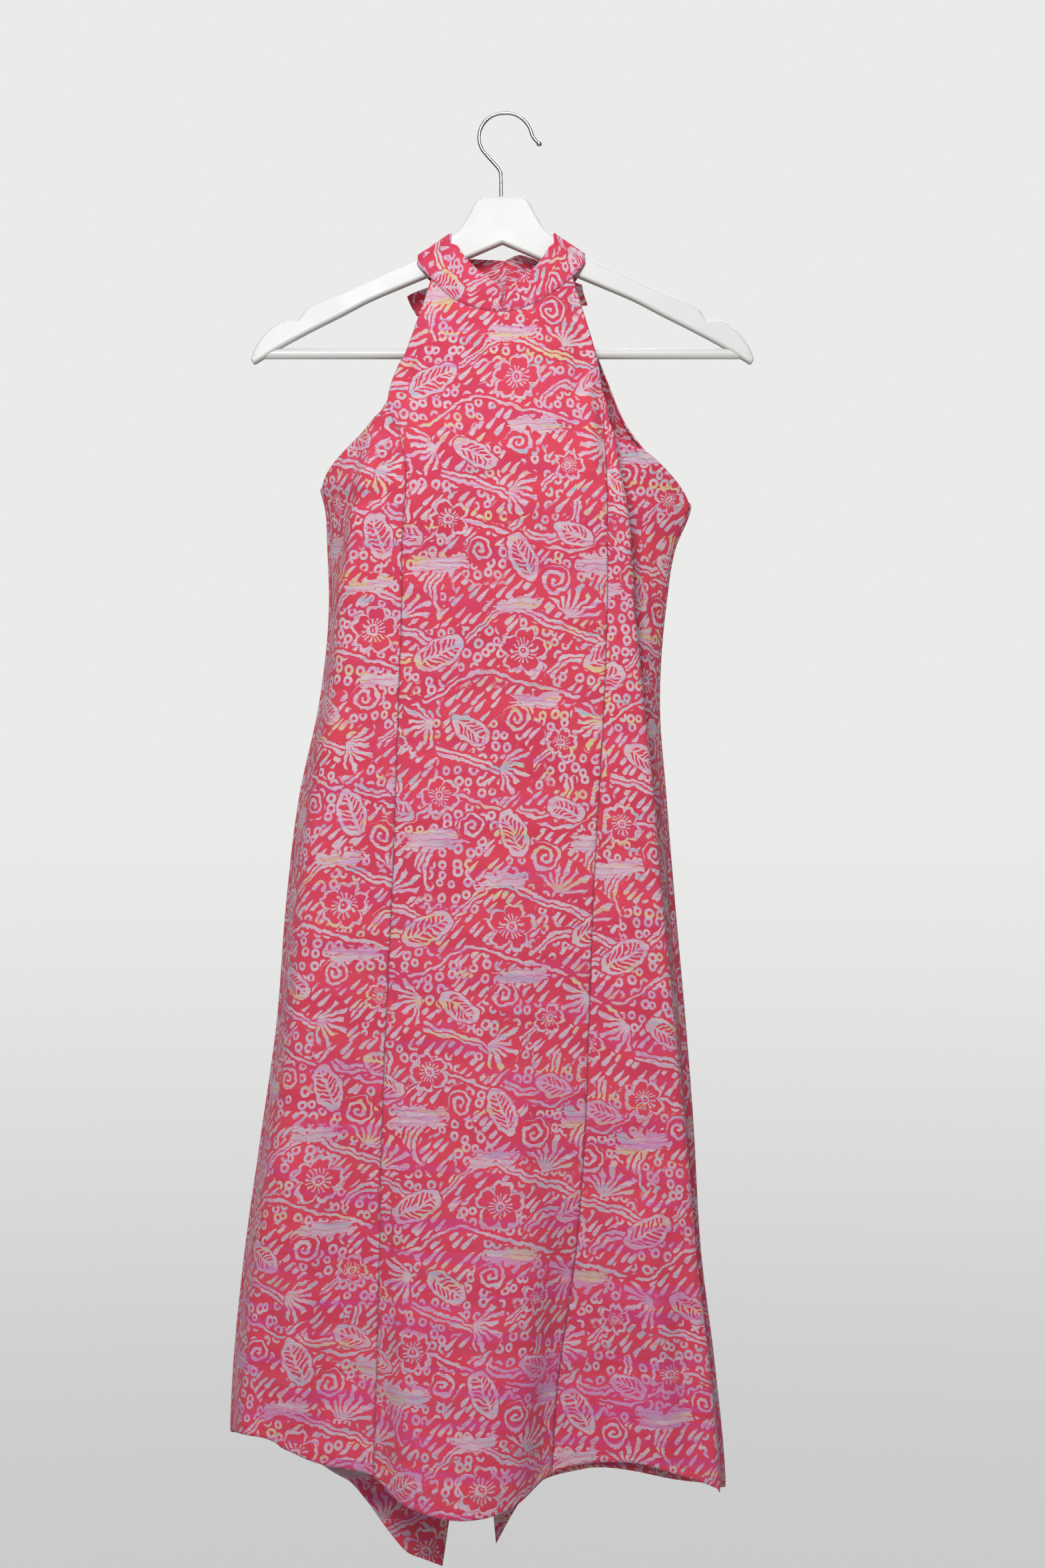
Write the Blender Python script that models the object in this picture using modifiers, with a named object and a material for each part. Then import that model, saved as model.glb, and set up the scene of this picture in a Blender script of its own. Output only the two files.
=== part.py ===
"""Halter dress with a stand collar, hanging from a flat wooden clothes hanger.

Lengths in the tables are millimetres.  +X is the viewer's right (the wearer's left), -Y is the
front of the dress and +Z is up.  The origin is the point inside the hook's crown that bears on
whatever the hanger is hung from.  Cloth pieces are single surfaces given a wall thickness; pieces
that meet at a seam stand 0.3 mm apart.
"""
import bpy
import numpy as np

MM = 0.001
CLOTH = 1.2          # wall of a single cloth panel
BAND = 1.6           # wall of the folded collar and ties
GAP = 0.3            # space between neighbouring pieces
NAME = "halter_dress"

# Closed cross-sections of the dress: one row per height, one column per measure.
LEVEL_COLUMNS = ("z", "out_l", "turn_l", "seam_l", "seam_r", "crest", "side_r", "out_r",
                 "y_mid", "y_seam", "y_side", "y_back", "step")
LEVELS = np.array((
    (-1290, -246, -229, -117.0, 36.0, 187.0, 190.0, 193.5, -96, -45, 1, 31, 3),
    (-1200, -244, -227, -114.2, 39.0, 184.0, 189.5, 193.2, -92, -46, 1, 30, 4),
    (-1100, -240, -222, -111.2, 45.5, 176.0, 179.5, 184.0, -83, -47, 1, 29, 8),
    (-1000, -230, -211, -108.6, 59.4, 164.0, 166.5, 172.0, -74, -48, 1, 28, 13),
    (-900, -216, -197, -106.6, 67.8, 155.0, 159.8, 166.2, -66, -49, 1, 27, 16),
    (-800, -202, -183, -102.7, 71.6, 145.0, 152.6, 158.5, -61, -50, 1, 27, 18),
    (-690, -193, -174, -97.6, 75.4, 134.2, 144.0, 148.6, -57, -50, 0, 27, 20),
    (-600, -182, -163, -94.4, 80.3, 126.6, 138.6, 141.2, -54, -50, 0, 26, 22),
    (-515, -164, -148, -91.7, 84.9, 117.8, 133.6, 135.2, -53, -49, 0, 26, 25),
    (-430, -155.6, -141, -88.8, 87.6, 110.0, 139.4, 140.6, -57, -52, 0, 29, 29),
    (-380, -157, -136, -88.2, 87.6, 107.0, 147.6, 148.6, -60, -56, 0, 31, 30),
    (-345, -159, -129, -85.9, 87.4, 103.0, 160.8, 162.0, -61, -58, 0, 33, 29),
    (-328, -163, -124, -84.6, 87.0, 99.8, 162.0, 163.0, -60, -57, -1, 33, 27),
    (-290, -163, -112, -90.8, 85.6, 94.0, 162.0, 163.0, -55, -48, -2, 32, 20),
    (-257, -163, -105, -101.6, 83.9, 88.5, 162.0, 163.0, -48, -39, -4, 30, 10),
    (-235, -163, -100, -96.6, 82.0, 87.0, 162.0, 163.0, -44, -35, -5, 29, 6),
    (-205, -163, -92, -83.6, 75.6, 84.0, 162.0, 163.0, -38, -29, -6, 28, 4),
    (-177, -163, -84, -74.2, 67.4, 80.0, 162.0, 163.0, -32, -23, -6, 26, 3),
    (-140, -163, -80, -63.0, 57.0, 76.0, 162.0, 163.0, -24, -13, -6, 24, 2),
))

# Numbered stations round a section: 0 left side seam, 1 turn, 3 front seam, 5 middle, 7 front
# seam, 9 fold crest, 10 fold valley, 12 right side seam, 16 back seam, 20 left side seam again.
STATIONS = 20
# Height of the hem at each station; the back left half has its own table.
HEM = np.array((
    (0, -1157), (0.6, -1151.5), (1.1, -1149.5), (1.45, -1152), (1.7, -1161), (2, -1169),
    (2.4, -1175.5), (3, -1182), (3.5, -1194), (4, -1199), (5, -1206),
    (6, -1199), (6.5, -1190), (7, -1180), (7.5, -1171), (8, -1172), (8.5, -1184), (9, -1195),
    (10, -1196), (11, -1200), (12, -1206), (13, -1208), (14, -1207), (15, -1199),
    (15.6, -1220), (16, -1266),
))
HEM_BACK_LEFT = np.array((
    (16, -1286), (16.25, -1280), (16.53, -1272), (16.74, -1256), (17.07, -1225), (17.22, -1211),
    (17.4, -1202), (17.6, -1191), (17.95, -1180), (18.15, -1170.5), (18.45, -1165), (19, -1160),
    (20, -1157),
))
# Height of each armhole edge at each station.
ARMHOLE_LEFT = np.array(((0, -327), (0.5, -297), (1, -268), (2, -261), (3, -257)))
ARMHOLE_RIGHT = np.array(((7, -249), (8, -264), (9, -284), (10, -283), (11, -303), (12, -344)))
UNDERARM_LEFT, UNDERARM_RIGHT = -327.0, -344.0
TOP_LEFT, TOP_RIGHT = -257.0, -249.0

# Neckline of the front, seen from the front: x, z.
NECK = np.array(((-67, -144.7), (-56, -157.4), (-45, -168), (-31, -174.5), (-17, -178.2),
                 (0, -179.6), (14, -176.4), (27, -170.6), (41, -161), (52, -151.7), (60, -144)))

# Free edge of each back panel above the underarm:
# share of the way up, x left, x right, y, z left, z right.
BACK_EDGE = np.array((
    (0.00, -160.5, 162.0, 0, -327, -344),
    (0.22, -134.0, 130.0, 10, -295, -304),
    (0.42, -108.0, 104.0, 16, -262, -268),
    (0.60, -92.0, 89.0, 17, -228, -232),
    (0.80, -76.0, 73.0, 15, -188, -190),
    (1.00, -62.0, 58.5, 12, -149, -149),
))
BACK_SEAM_TOP, BACK_SEAM_FOOT = 0.0, -32.0
BACK_SHARE_Z = np.array(((0.0, -336), (0.5, -250), (1.0, -156)))
KEYHOLE = (-246.0, 7.0)          # foot of the opening, widest half-width
VENT = (-1000.0, 20.0)           # head of the vent, half-width 245 mm lower down

# Upper edge of the collar from the middle front round to the top of the hanger's arm:
# x left, x right, y, z left, z right.
COLLAR_FRONT = np.array((
    (0.0, 0.0, -30.0, -163.0, -163.0),
    (-5.0, 5.0, -28.0, -155.5, -157.5),
    (-13.0, 11.5, -25.5, -148.5, -151.0),
    (-22.5, 19.5, -22.0, -141.0, -144.0),
    (-31.0, 27.0, -18.0, -132.5, -136.5),
    (-37.0, 33.0, -13.5, -125.0, -127.5),
    (-42.0, 37.5, -10.2, -117.5, -119.0),
))
# The collar over the arm: y and height above the arm's top edge, then its two edges' x.
WRAP = np.array(((-7.6, -6.5), (-7.5, -2.4), (-6.3, 0.4), (-3.4, 1.5),
                 (3.4, 1.5), (6.3, 0.4), (7.5, -2.4), (7.6, -6.5)))
WRAP_LOW = (-77.0, 69.0)
WRAP_HIGH = (-48.0, 42.0)
# Upper edge of the collar behind the hanger, from the arm to the nape:
# share of the way, x left, x right, y, z left, z right.
COLLAR_BACK = np.array((
    (0.00, -43.0, 38.0, 9.5, -118.0, -120.0),
    (0.25, -36.0, 32.0, 14.0, -122.5, -125.5),
    (0.50, -25.0, 24.0, 18.0, -122.5, -122.0),
    (0.75, -12.0, 12.0, 21.0, -122.5, -118.0),
    (1.00, 0.0, 0.0, 23.5, -123.0, -122.0),
))

# Half outline of the hanger body from the middle of its head round to the middle underneath:
# distance across from the middle, z.
HANGER_MIDDLE = -3.0
HANGER = np.array((
    (0, -72.5), (21.7, -72.5), (24.0, -76.0), (29.5, -88.0), (37.3, -100.0), (46.7, -107.9),
    (74.3, -126.3), (107.0, -141.3), (141.2, -156.9), (172.4, -171.2), (176.6, -177.4),
    (180.4, -181.0), (186.0, -180.6), (191.5, -180.8), (198.3, -184.6), (207.1, -191.5),
    (214.7, -201.3), (219.6, -211.0), (220.6, -215.6), (218.4, -218.8), (213.6, -216.4),
    (199.5, -207.4), (166.6, -189.5), (141.2, -176.7), (116.0, -163.6), (88.0, -151.6),
    (61.7, -140.6), (32.0, -127.0), (6.0, -114.6), (0, -113.2),
))
HANGER_THICK = 12.0
HANGER_ROUND = 2.5
BAR_RADIUS = 4.6
BAR_Z = -209.8
BAR_HALF = 211.0
WIRE_RADIUS = 1.6
HOOK_CENTRE = (-2.3, -19.46)
HOOK_RADIUS = 21.2
STEM_FOOT = -94.0

# Centre and half sizes of the knot.
KNOT = ((0.0, 34.0, -138.0), (9.0, 8.4, 11.0))
# Path of each bow loop: x left, x right, y, z left, z right, half width of the tie.
LOOP = np.array((
    (-9.35, 9.35, 32.5, -138, -138, 5.5),
    (-36.0, 32.0, 33.4, -144, -141, 9.0),
    (-62.0, 52.0, 34.2, -152, -146, 10.0),
    (-79.0, 64.5, 35.0, -158, -149, 10.0),
    (-84.0, 69.5, 38.0, -160, -150, 9.5),
    (-79.0, 64.5, 41.0, -158, -149, 10.0),
    (-62.0, 52.0, 41.0, -151, -145, 10.0),
    (-36.0, 32.0, 40.2, -143, -140, 9.0),
    (-9.35, 9.35, 38.5, -138, -138, 5.5),
))
# Path of each hanging end: z left, z right, x left, x right, y left, y right, half width.
TAIL = np.array((
    (-149.6, -149.6, -3.5, 3.5, 34.0, 38.5, 5.0),
    (-185.0, -180.0, -11.0, 9.0, 35.5, 40.0, 9.0),
    (-225.0, -215.0, -17.0, 15.0, 38.5, 42.5, 10.5),
    (-262.0, -246.0, -21.0, 19.0, 39.0, 43.0, 11.0),
    (-296.0, -276.0, -27.0, 22.0, 41.0, 45.0, 11.0),
))


def smooth(at, xs, ys):
    """Smooth curve through the points (xs rising, ys), read at the positions given."""
    xs, ys = np.asarray(xs, float), np.asarray(ys, float)
    slope = np.gradient(ys, xs, axis=0)
    at = np.clip(np.asarray(at, float), xs[0], xs[-1])
    i = np.clip(np.searchsorted(xs, at, side="right") - 1, 0, len(xs) - 2)
    h = xs[i + 1] - xs[i]
    t = (at - xs[i]) / h
    if ys.ndim > 1:
        t, h = t[..., None], h[..., None]
    a = (1 + 2 * t) * (1 - t) ** 2
    b = t * (1 - t) ** 2 * h
    c = t * t * (3 - 2 * t)
    d = t * t * (t - 1) * h
    return a * ys[i] + b * slope[i] + c * ys[i + 1] + d * slope[i + 1]


def section(z):
    """The twenty stations of the closed section at each height, as x and y."""
    col = dict(zip(LEVEL_COLUMNS[1:], np.moveaxis(smooth(z, LEVELS[:, 0], LEVELS[:, 1:]), -1, 0)))
    out_l, out_r, side = col["out_l"], col["out_r"], col["y_side"]
    seam_l, seam_r, crest = col["seam_l"], col["seam_r"], col["crest"]
    mid, seam, back = col["y_mid"], col["y_seam"], col["y_back"]
    wide, front = out_r - out_l, seam_r - seam_l
    middle = BACK_SEAM_TOP + (BACK_SEAM_FOOT - BACK_SEAM_TOP) * (z + 156.0) / -1130.0
    points = (
        (out_l + 2.5, side), (col["turn_l"], seam + 0.22 * (side - seam)),
        (0.5 * (col["turn_l"] + seam_l), seam + 2.5), (seam_l, seam),
        (seam_l + 0.22 * front, 0.75 * mid + 0.25 * seam), (0.5 * (seam_l + seam_r), mid),
        (seam_r - 0.22 * front, 0.75 * mid + 0.25 * seam), (seam_r, seam),
        (0.45 * seam_r + 0.55 * crest, seam - 0.5), (crest, seam + 3.0),
        (crest - 0.5, seam + 3.0 + col["step"]),
        (0.5 * (crest + col["side_r"]), 0.45 * (seam + 3.0 + col["step"]) + 0.55 * side - 3.0),
        (col["side_r"], side), (out_r, side + 0.3 * (back - side)),
        (out_r - 0.10 * wide, back - 4.0), (out_r - 0.30 * wide, back), (middle, back + 1.0),
        (out_l + 0.30 * wide, back), (out_l + 0.10 * wide, back - 4.0),
        (out_l, side + 0.3 * (back - side)),
    )
    return np.stack([np.stack(np.broadcast_arrays(x, y), -1) for x, y in points], -2)


def cloth(station, z):
    """Point of the dress surface at each station number and height, as x, y, z."""
    station, z = np.broadcast_arrays(np.asarray(station, float), np.asarray(z, float))
    ring = section(z)
    i = np.floor(station).astype(int)
    t = (station - i)[..., None]
    p = [np.take_along_axis(ring, ((i + k) % STATIONS)[..., None, None], -2)[..., 0, :]
         for k in (-1, 0, 1, 2)]
    d = [np.sqrt(np.linalg.norm(p[k + 1] - p[k], axis=-1, keepdims=True)) + 1e-6
         for k in (0, 1, 2)]
    m = (p[1] - p[0]) / d[0] - (p[2] - p[0]) / (d[0] + d[1]) + (p[2] - p[1]) / d[1]
    n = (p[2] - p[1]) / d[1] - (p[3] - p[1]) / (d[1] + d[2]) + (p[3] - p[2]) / d[2]
    m, n = m * d[1], n * d[1]
    xy = ((1 + 2 * t) * (1 - t) ** 2 * p[1] + t * (1 - t) ** 2 * m
          + t * t * (3 - 2 * t) * p[2] + t * t * (t - 1) * n)
    return np.concatenate((xy, z[..., None]), -1)


def part(rim_a, inner_a, inner_b, wall=CLOTH, rim_b=None):
    """Both sides of a seam line, drawn apart so that the walls stand GAP clear."""
    rims = (rim_a, rim_a if rim_b is None else rim_b)
    ways = []
    for rim, inner in zip(rims, (inner_a, inner_b)):
        along = np.gradient(rim, axis=0)
        along /= np.linalg.norm(along, axis=1, keepdims=True)
        way = inner - rim
        way = way - (way * along).sum(1, keepdims=True) * along
        ways.append(way / np.linalg.norm(way, axis=1, keepdims=True))
    bend = np.arccos(np.clip(-(ways[0] * ways[1]).sum(1, keepdims=True), -1, 1))
    off = 0.5 * GAP + 0.5 * wall * np.tan(0.5 * np.minimum(bend, 1.8))
    return rims[0] + ways[0] * off, rims[1] + ways[1] * off


def side_left():
    station = np.array((0, 0.08, 0.25, 0.45, 0.7, 1, 1.4, 1.9, 2.4, 2.7, 3))[:, None]
    share = np.linspace(0, 1, 33)[None, :]
    foot = smooth(station, HEM[:, 0], HEM[:, 1])
    head = smooth(station, ARMHOLE_LEFT[:, 0], ARMHOLE_LEFT[:, 1])
    return cloth(station, foot + (head - foot) * share)


def side_right():
    station = np.array((7, 7.5, 8, 8.5, 8.8, 9, 9.15, 9.4, 9.7, 10, 10.25, 10.6, 11, 11.5,
                        11.85, 12))[:, None]
    share = np.linspace(0, 1, 33)[None, :]
    foot = smooth(station, HEM[:, 0], HEM[:, 1])
    head = smooth(station, ARMHOLE_RIGHT[:, 0], ARMHOLE_RIGHT[:, 1])
    return cloth(station, foot + (head - foot) * share)


def centre():
    """The middle front: rows shared with the side panels, then rows up to the neckline."""
    station = np.linspace(3, 7, 13)[:, None]
    share = np.linspace(0, 1, 33)[None, :]
    foot = smooth(station, HEM[:, 0], HEM[:, 1])
    head = TOP_LEFT + (TOP_RIGHT - TOP_LEFT) * (station - 3) / 4
    top = head + 90.0
    for _ in range(12):
        top = np.interp(cloth(station, top)[..., 0], NECK[:, 0], NECK[:, 1])
    rise = np.linspace(0, 1, 6)[None, 1:]
    z = np.concatenate((foot + (head - foot) * share, head + (top - head) * rise), 1)
    return cloth(station, z)


BACK_ACROSS = np.array((0, 0.03, 0.09, 0.18, 0.28, 0.4, 0.52, 0.64, 0.76, 0.88, 1))


def back(left):
    """One half of the back, from its side seam and armhole to the back seam."""
    share = np.linspace(0, 1, 33)[None, :]
    across = BACK_ACROSS[:, None]
    hem = HEM_BACK_LEFT if left else HEM
    station = 20 - 4 * across if left else 12 + 4 * across
    under = UNDERARM_LEFT if left else UNDERARM_RIGHT
    head = under + (BACK_SHARE_Z[0, 1] - under) * across
    foot = smooth(station, hem[:, 0], hem[:, 1])
    lower = cloth(station, foot + (head - foot) * share)
    root = lower[:, -1]
    rise = np.linspace(0, 1, 9)[1:]
    edge = smooth(rise, BACK_EDGE[:, 0], BACK_EDGE[:, (1 if left else 2, 3, 4 if left else 5)])
    seam_z = smooth(rise, BACK_SHARE_Z[:, 0], BACK_SHARE_Z[:, 1])
    seam_x = BACK_SEAM_TOP + (BACK_SEAM_FOOT - BACK_SEAM_TOP) * (seam_z + 156.0) / -1130.0
    seam_y = smooth(seam_z, LEVELS[:, 0], LEVELS[:, 11]) + 1.0
    width = (root[:, :1] - root[-1, 0]) / (root[0, 0] - root[-1, 0])
    depth = (root[:, 1:2] - root[-1, 1]) / (root[0, 1] - root[-1, 1])
    x = seam_x + (edge[:, 0] - seam_x) * width
    y = seam_y + (edge[:, 1] - seam_y) * depth
    z = edge[:, 2] + (seam_z - edge[:, 2]) * across ** 1.4
    return np.concatenate((lower, np.stack((x, y, z), -1)), 1)


def open_back(points, pull):
    """Draw one half of the back aside at the keyhole under the nape and at the vent."""
    share = (BACK_ACROSS ** 3)[:, None]
    deep = np.clip((VENT[0] - points[..., 2]) / 245.0, 0, 1.3)
    high = np.clip((points[..., 2] - KEYHOLE[0]) / (-156.0 - KEYHOLE[0]), 0, 1)
    aside = VENT[1] * deep ** 1.4 + KEYHOLE[1] * np.sin(np.pi * high ** 0.8)
    points[..., 0] += pull * aside * share


def collar(left, front, behind):
    """Half of the stand collar: middle front, over the arm of the hanger, round to the nape."""
    side = 0 if left else 1
    fore = front[:7, -1][::-1] if left else front[6:, -1]
    aft = behind[:, -1]
    axis = fore[0, 0]
    high_front = COLLAR_FRONT[:, (side, 2, 3 + side)] + np.array((axis, 0, 0)) * (
        np.linspace(1, 0, 7)[:, None])
    wrap_low = np.stack((np.full(8, WRAP_LOW[side]), WRAP[:, 0],
                         arm_top(WRAP_LOW[side]) + 1.2 * WRAP[:, 1]), -1)
    wrap_high = np.stack((np.full(8, WRAP_HIGH[side]), WRAP[:, 0],
                          arm_top(WRAP_HIGH[side]) + 1.2 * WRAP[:, 1]), -1)
    share = np.linspace(0, 1, len(aft))
    high_back = smooth(share, COLLAR_BACK[:, 0], COLLAR_BACK[:, (1 + side, 3, 4 + side)])
    high_back[:, 0] += aft[-1, 0] * share ** 3
    low = np.concatenate((fore, wrap_low, aft))
    high = np.concatenate((high_front, wrap_high, high_back))
    up = np.linspace(0, 1, 5)[None, :, None]
    return low[:, None] + (high - low)[:, None] * up


def arm_top(x):
    """Height of the top edge of the hanger at x."""
    top = HANGER[1:19]
    return float(np.interp(abs(x - HANGER_MIDDLE), top[:, 0], top[:, 1]))


def dress():
    """All the panels and both halves of the collar, drawn apart at their shared seams."""
    front, flank_l, flank_r, back_l, back_r = centre(), side_left(), side_right(), back(1), back(0)
    collar_l, collar_r = collar(True, front, back_l), collar(False, front, back_r)
    raw = [p.copy() for p in (front, flank_l, flank_r, back_l, back_r, collar_l, collar_r)]
    f, fl, fr, bl, br, cl, cr = raw
    front[0, :33], flank_l[-1] = part(f[0, :33], f[1, :33], fl[-2])
    front[-1, :33], flank_r[0] = part(f[-1, :33], f[-2, :33], fr[1])
    flank_l[0], back_l[0, :33] = part(fl[0], fl[1], bl[1, :33])
    flank_r[-1], back_r[0, :33] = part(fr[-1], fr[-2], br[1, :33])
    back_l[-1], back_r[-1] = part(bl[-1], bl[-2], br[-2], CLOTH, br[-1])
    n = bl.shape[0]
    front[:7, -1], collar_l[6::-1, 0] = part(f[:7, -1], f[:7, -2], cl[6::-1, 1], BAND)
    front[6:, -1], collar_r[:7, 0] = part(f[6:, -1], f[6:, -2], cr[:7, 1], BAND)
    back_l[:, -1], collar_l[-n:, 0] = part(bl[:, -1], bl[:, -2], cl[-n:, 1], BAND)
    back_r[:, -1], collar_r[-n:, 0] = part(br[:, -1], br[:, -2], cr[-n:, 1], BAND)
    open_back(back_l, -1.0)
    open_back(back_r, 1.0)
    for end in (0, -1):
        collar_l[end, :, 0] -= 0.5 * GAP
        collar_r[end, :, 0] += 0.5 * GAP
    return front, flank_l, flank_r, back_l, back_r, collar_l, collar_r


def ribbon(path, half_width, across):
    """Strip of cloth along a path, its width laid along one direction at each point."""
    side = across / np.linalg.norm(across, axis=-1, keepdims=True) * half_width[:, None]
    return path[:, None] + side[:, None] * np.linspace(-1, 1, 4)[None, :, None]


def loop(left):
    side = 0 if left else 1
    at = np.linspace(0, 8, 25)
    row = smooth(at, np.arange(9), LOOP)
    path = row[:, (side, 2, 3 + side)]
    lean = (-0.5 if left else -0.28) * np.sin(np.pi * at / 8)
    return ribbon(path, row[:, 5], np.stack((lean, 0 * at, 1 + 0 * at), -1))


def tail(left):
    side = 0 if left else 1
    row = smooth(np.linspace(0, 4, 13), np.arange(5), TAIL)
    path = row[:, (2 + side, 4 + side, side)]
    return ribbon(path, row[:, 6], np.tile((1.0, 0.15, 0.12 if left else -0.1), (13, 1)))


def material(name, rgb, rough, metal=0.0):
    mat = bpy.data.materials.new(name)
    mat.use_nodes = True
    shader = mat.node_tree.nodes["Principled BSDF"]
    shader.inputs["Base Color"].default_value = (*rgb, 1.0)
    shader.inputs["Roughness"].default_value = rough
    shader.inputs["Metallic"].default_value = metal
    return mat


def mesh_object(name, verts, faces, mat, group, smooth_shade=True):
    mesh = bpy.data.meshes.new(name)
    mesh.from_pydata([tuple(v) for v in np.asarray(verts) * MM], [], faces)
    mesh.update()
    if smooth_shade:
        mesh.polygons.foreach_set("use_smooth", [True] * len(mesh.polygons))
    mesh.materials.append(mat)
    obj = bpy.data.objects.new(name, mesh)
    group.objects.link(obj)
    return obj


def sheet(name, points, wall, mat, group):
    """Cloth piece: a grid of points given a wall by a Solidify modifier."""
    nu, nv = points.shape[:2]
    faces = [(i * nv + j, (i + 1) * nv + j, (i + 1) * nv + j + 1, i * nv + j + 1)
             for i in range(nu - 1) for j in range(nv - 1)]
    obj = mesh_object(name, points.reshape(-1, 3), faces, mat, group)
    solid = obj.modifiers.new("wall", "SOLIDIFY")
    solid.thickness = wall * MM
    solid.offset = 0.0
    solid.use_even_offset = False
    return obj


def outline():
    """Closed outline of the hanger body, clockwise seen from the front."""
    left = HANGER[1:][::-1] * (-1, 1)
    full = np.concatenate((HANGER[:-1], left))
    full[:, 0] += HANGER_MIDDLE
    return full


def inset(shape, by):
    before, after = np.roll(shape, 1, 0), np.roll(shape, -1, 0)
    a, b = shape - before, after - shape
    a /= np.linalg.norm(a, axis=1, keepdims=True)
    b /= np.linalg.norm(b, axis=1, keepdims=True)
    na = np.stack((a[:, 1], -a[:, 0]), 1)
    nb = np.stack((b[:, 1], -b[:, 0]), 1)
    mid = na + nb
    return shape + by * mid / np.maximum((1 + (na * nb).sum(1))[:, None], 0.6)


def plate(name, shape, mat, group):
    """Flat board with rounded rims, lying in the XZ plane."""
    half, r = HANGER_THICK / 2, HANGER_ROUND
    angle = np.radians((90, 45, 0))
    rings = [(-half + r - r * np.sin(a), r - r * np.cos(a)) for a in angle]
    rings += [(-y, d) for y, d in rings[::-1]]
    rims = [(inset(shape, d), y) for y, d in rings]
    verts = np.concatenate([np.stack((rim[:, 0], np.full(len(rim), y), rim[:, 1]), 1)
                            for rim, y in rims])
    n, faces = len(shape), []
    for k in range(len(rings) - 1):
        for i in range(n):
            j = (i + 1) % n
            faces.append((k * n + i, k * n + j, (k + 1) * n + j, (k + 1) * n + i))
    last = (len(rings) - 1) * n
    faces.append(tuple(range(n))[::-1])
    faces.append(tuple(last + i for i in range(n)))
    return mesh_object(name, verts, faces, mat, group)


def rod(name, path, radius, sides, mat, group):
    """Round rod along a path in the XZ plane, one radius for each point, closed at both ends."""
    path, radius = np.asarray(path, float), np.asarray(radius, float)
    along = np.gradient(path, axis=0)
    along /= np.linalg.norm(along, axis=1, keepdims=True)
    angle = np.linspace(0, 2 * np.pi, sides, endpoint=False)
    normal = np.stack((along[:, 1], -along[:, 0]), 1)
    x = path[:, None, 0] + radius[:, None] * np.cos(angle) * normal[:, None, 0]
    z = path[:, None, 1] + radius[:, None] * np.cos(angle) * normal[:, None, 1]
    y = radius[:, None] * np.sin(angle) * np.ones_like(x)
    verts = np.stack((x, y, z), -1).reshape(-1, 3)
    n, faces = len(path), []
    for k in range(n - 1):
        for i in range(sides):
            j = (i + 1) % sides
            faces.append((k * sides + i, k * sides + j, (k + 1) * sides + j, (k + 1) * sides + i))
    faces.append(tuple(range(sides))[::-1])
    faces.append(tuple((n - 1) * sides + i for i in range(sides)))
    return mesh_object(name, verts, faces, mat, group)


def hook_path():
    """Centre line of the hook wire from its foot in the head to its free tip."""
    cx, cz = HOOK_CENTRE
    stem = [(-4.1, STEM_FOOT), (-4.1, -72.0), (-4.2, -56.0), (-4.6, -50.5), (-6.6, -46.6),
            (-10.5, -42.0), (-15.2, -36.8)]
    turn = np.radians(np.linspace(212, 90, 14))
    crown = [(cx + HOOK_RADIUS * np.cos(a), cz + HOOK_RADIUS * np.sin(a)) for a in turn]
    turn = np.linspace(90, 6, 10)[1:]
    fall = [(cx + (HOOK_RADIUS + 4.2 * (90 - a) / 84) * np.cos(np.radians(a)),
             cz + (HOOK_RADIUS + 4.2 * (90 - a) / 84) * np.sin(np.radians(a))) for a in turn]
    tip = [(25.0, -20.4), (27.6, -23.2), (28.4, -24.0), (29.6, -25.2), (30.6, -26.2),
           (31.0, -26.6)]
    radius = [WIRE_RADIUS] * (len(stem) + 14 + 9 + 2) + [2.2, 2.4, 1.7, 0.8]
    return stem + crown + fall + tip, radius


def knot(name, mat, group):
    """Rounded block where the ties cross."""
    (cx, cy, cz), (rx, ry, rz) = KNOT
    rings, sides = 7, 14
    lat = np.linspace(-np.pi / 2, np.pi / 2, rings + 2)[1:-1]
    lon = np.linspace(0, 2 * np.pi, sides, endpoint=False)

    def soft(v):
        return np.sign(v) * np.abs(v) ** 0.7

    verts = [(cx + rx * soft(np.cos(a)) * soft(np.cos(b)), cy + ry * soft(np.cos(a))
              * soft(np.sin(b)), cz + rz * soft(np.sin(a))) for a in lat for b in lon]
    foot, head = len(verts), len(verts) + 1
    verts += [(cx, cy, cz - rz), (cx, cy, cz + rz)]
    faces = []
    for k in range(rings - 1):
        for i in range(sides):
            j = (i + 1) % sides
            faces.append((k * sides + i, k * sides + j, (k + 1) * sides + j, (k + 1) * sides + i))
    last = (rings - 1) * sides
    for i in range(sides):
        j = (i + 1) % sides
        faces.append((foot, j, i))
        faces.append((head, last + i, last + j))
    return mesh_object(name, verts, faces, mat, group)


def bore(name, target, path, radius, mat, group):
    """Cut a round hole along a path out of the target."""
    cutter = rod(name, path, [radius] * len(path), 24, mat, group)
    cutter.hide_render = True
    cutter.display_type = "WIRE"
    cut = target.modifiers.new(name, "BOOLEAN")
    cut.operation = "DIFFERENCE"
    cut.solver = "EXACT"
    cut.object = cutter
    return cutter


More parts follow.
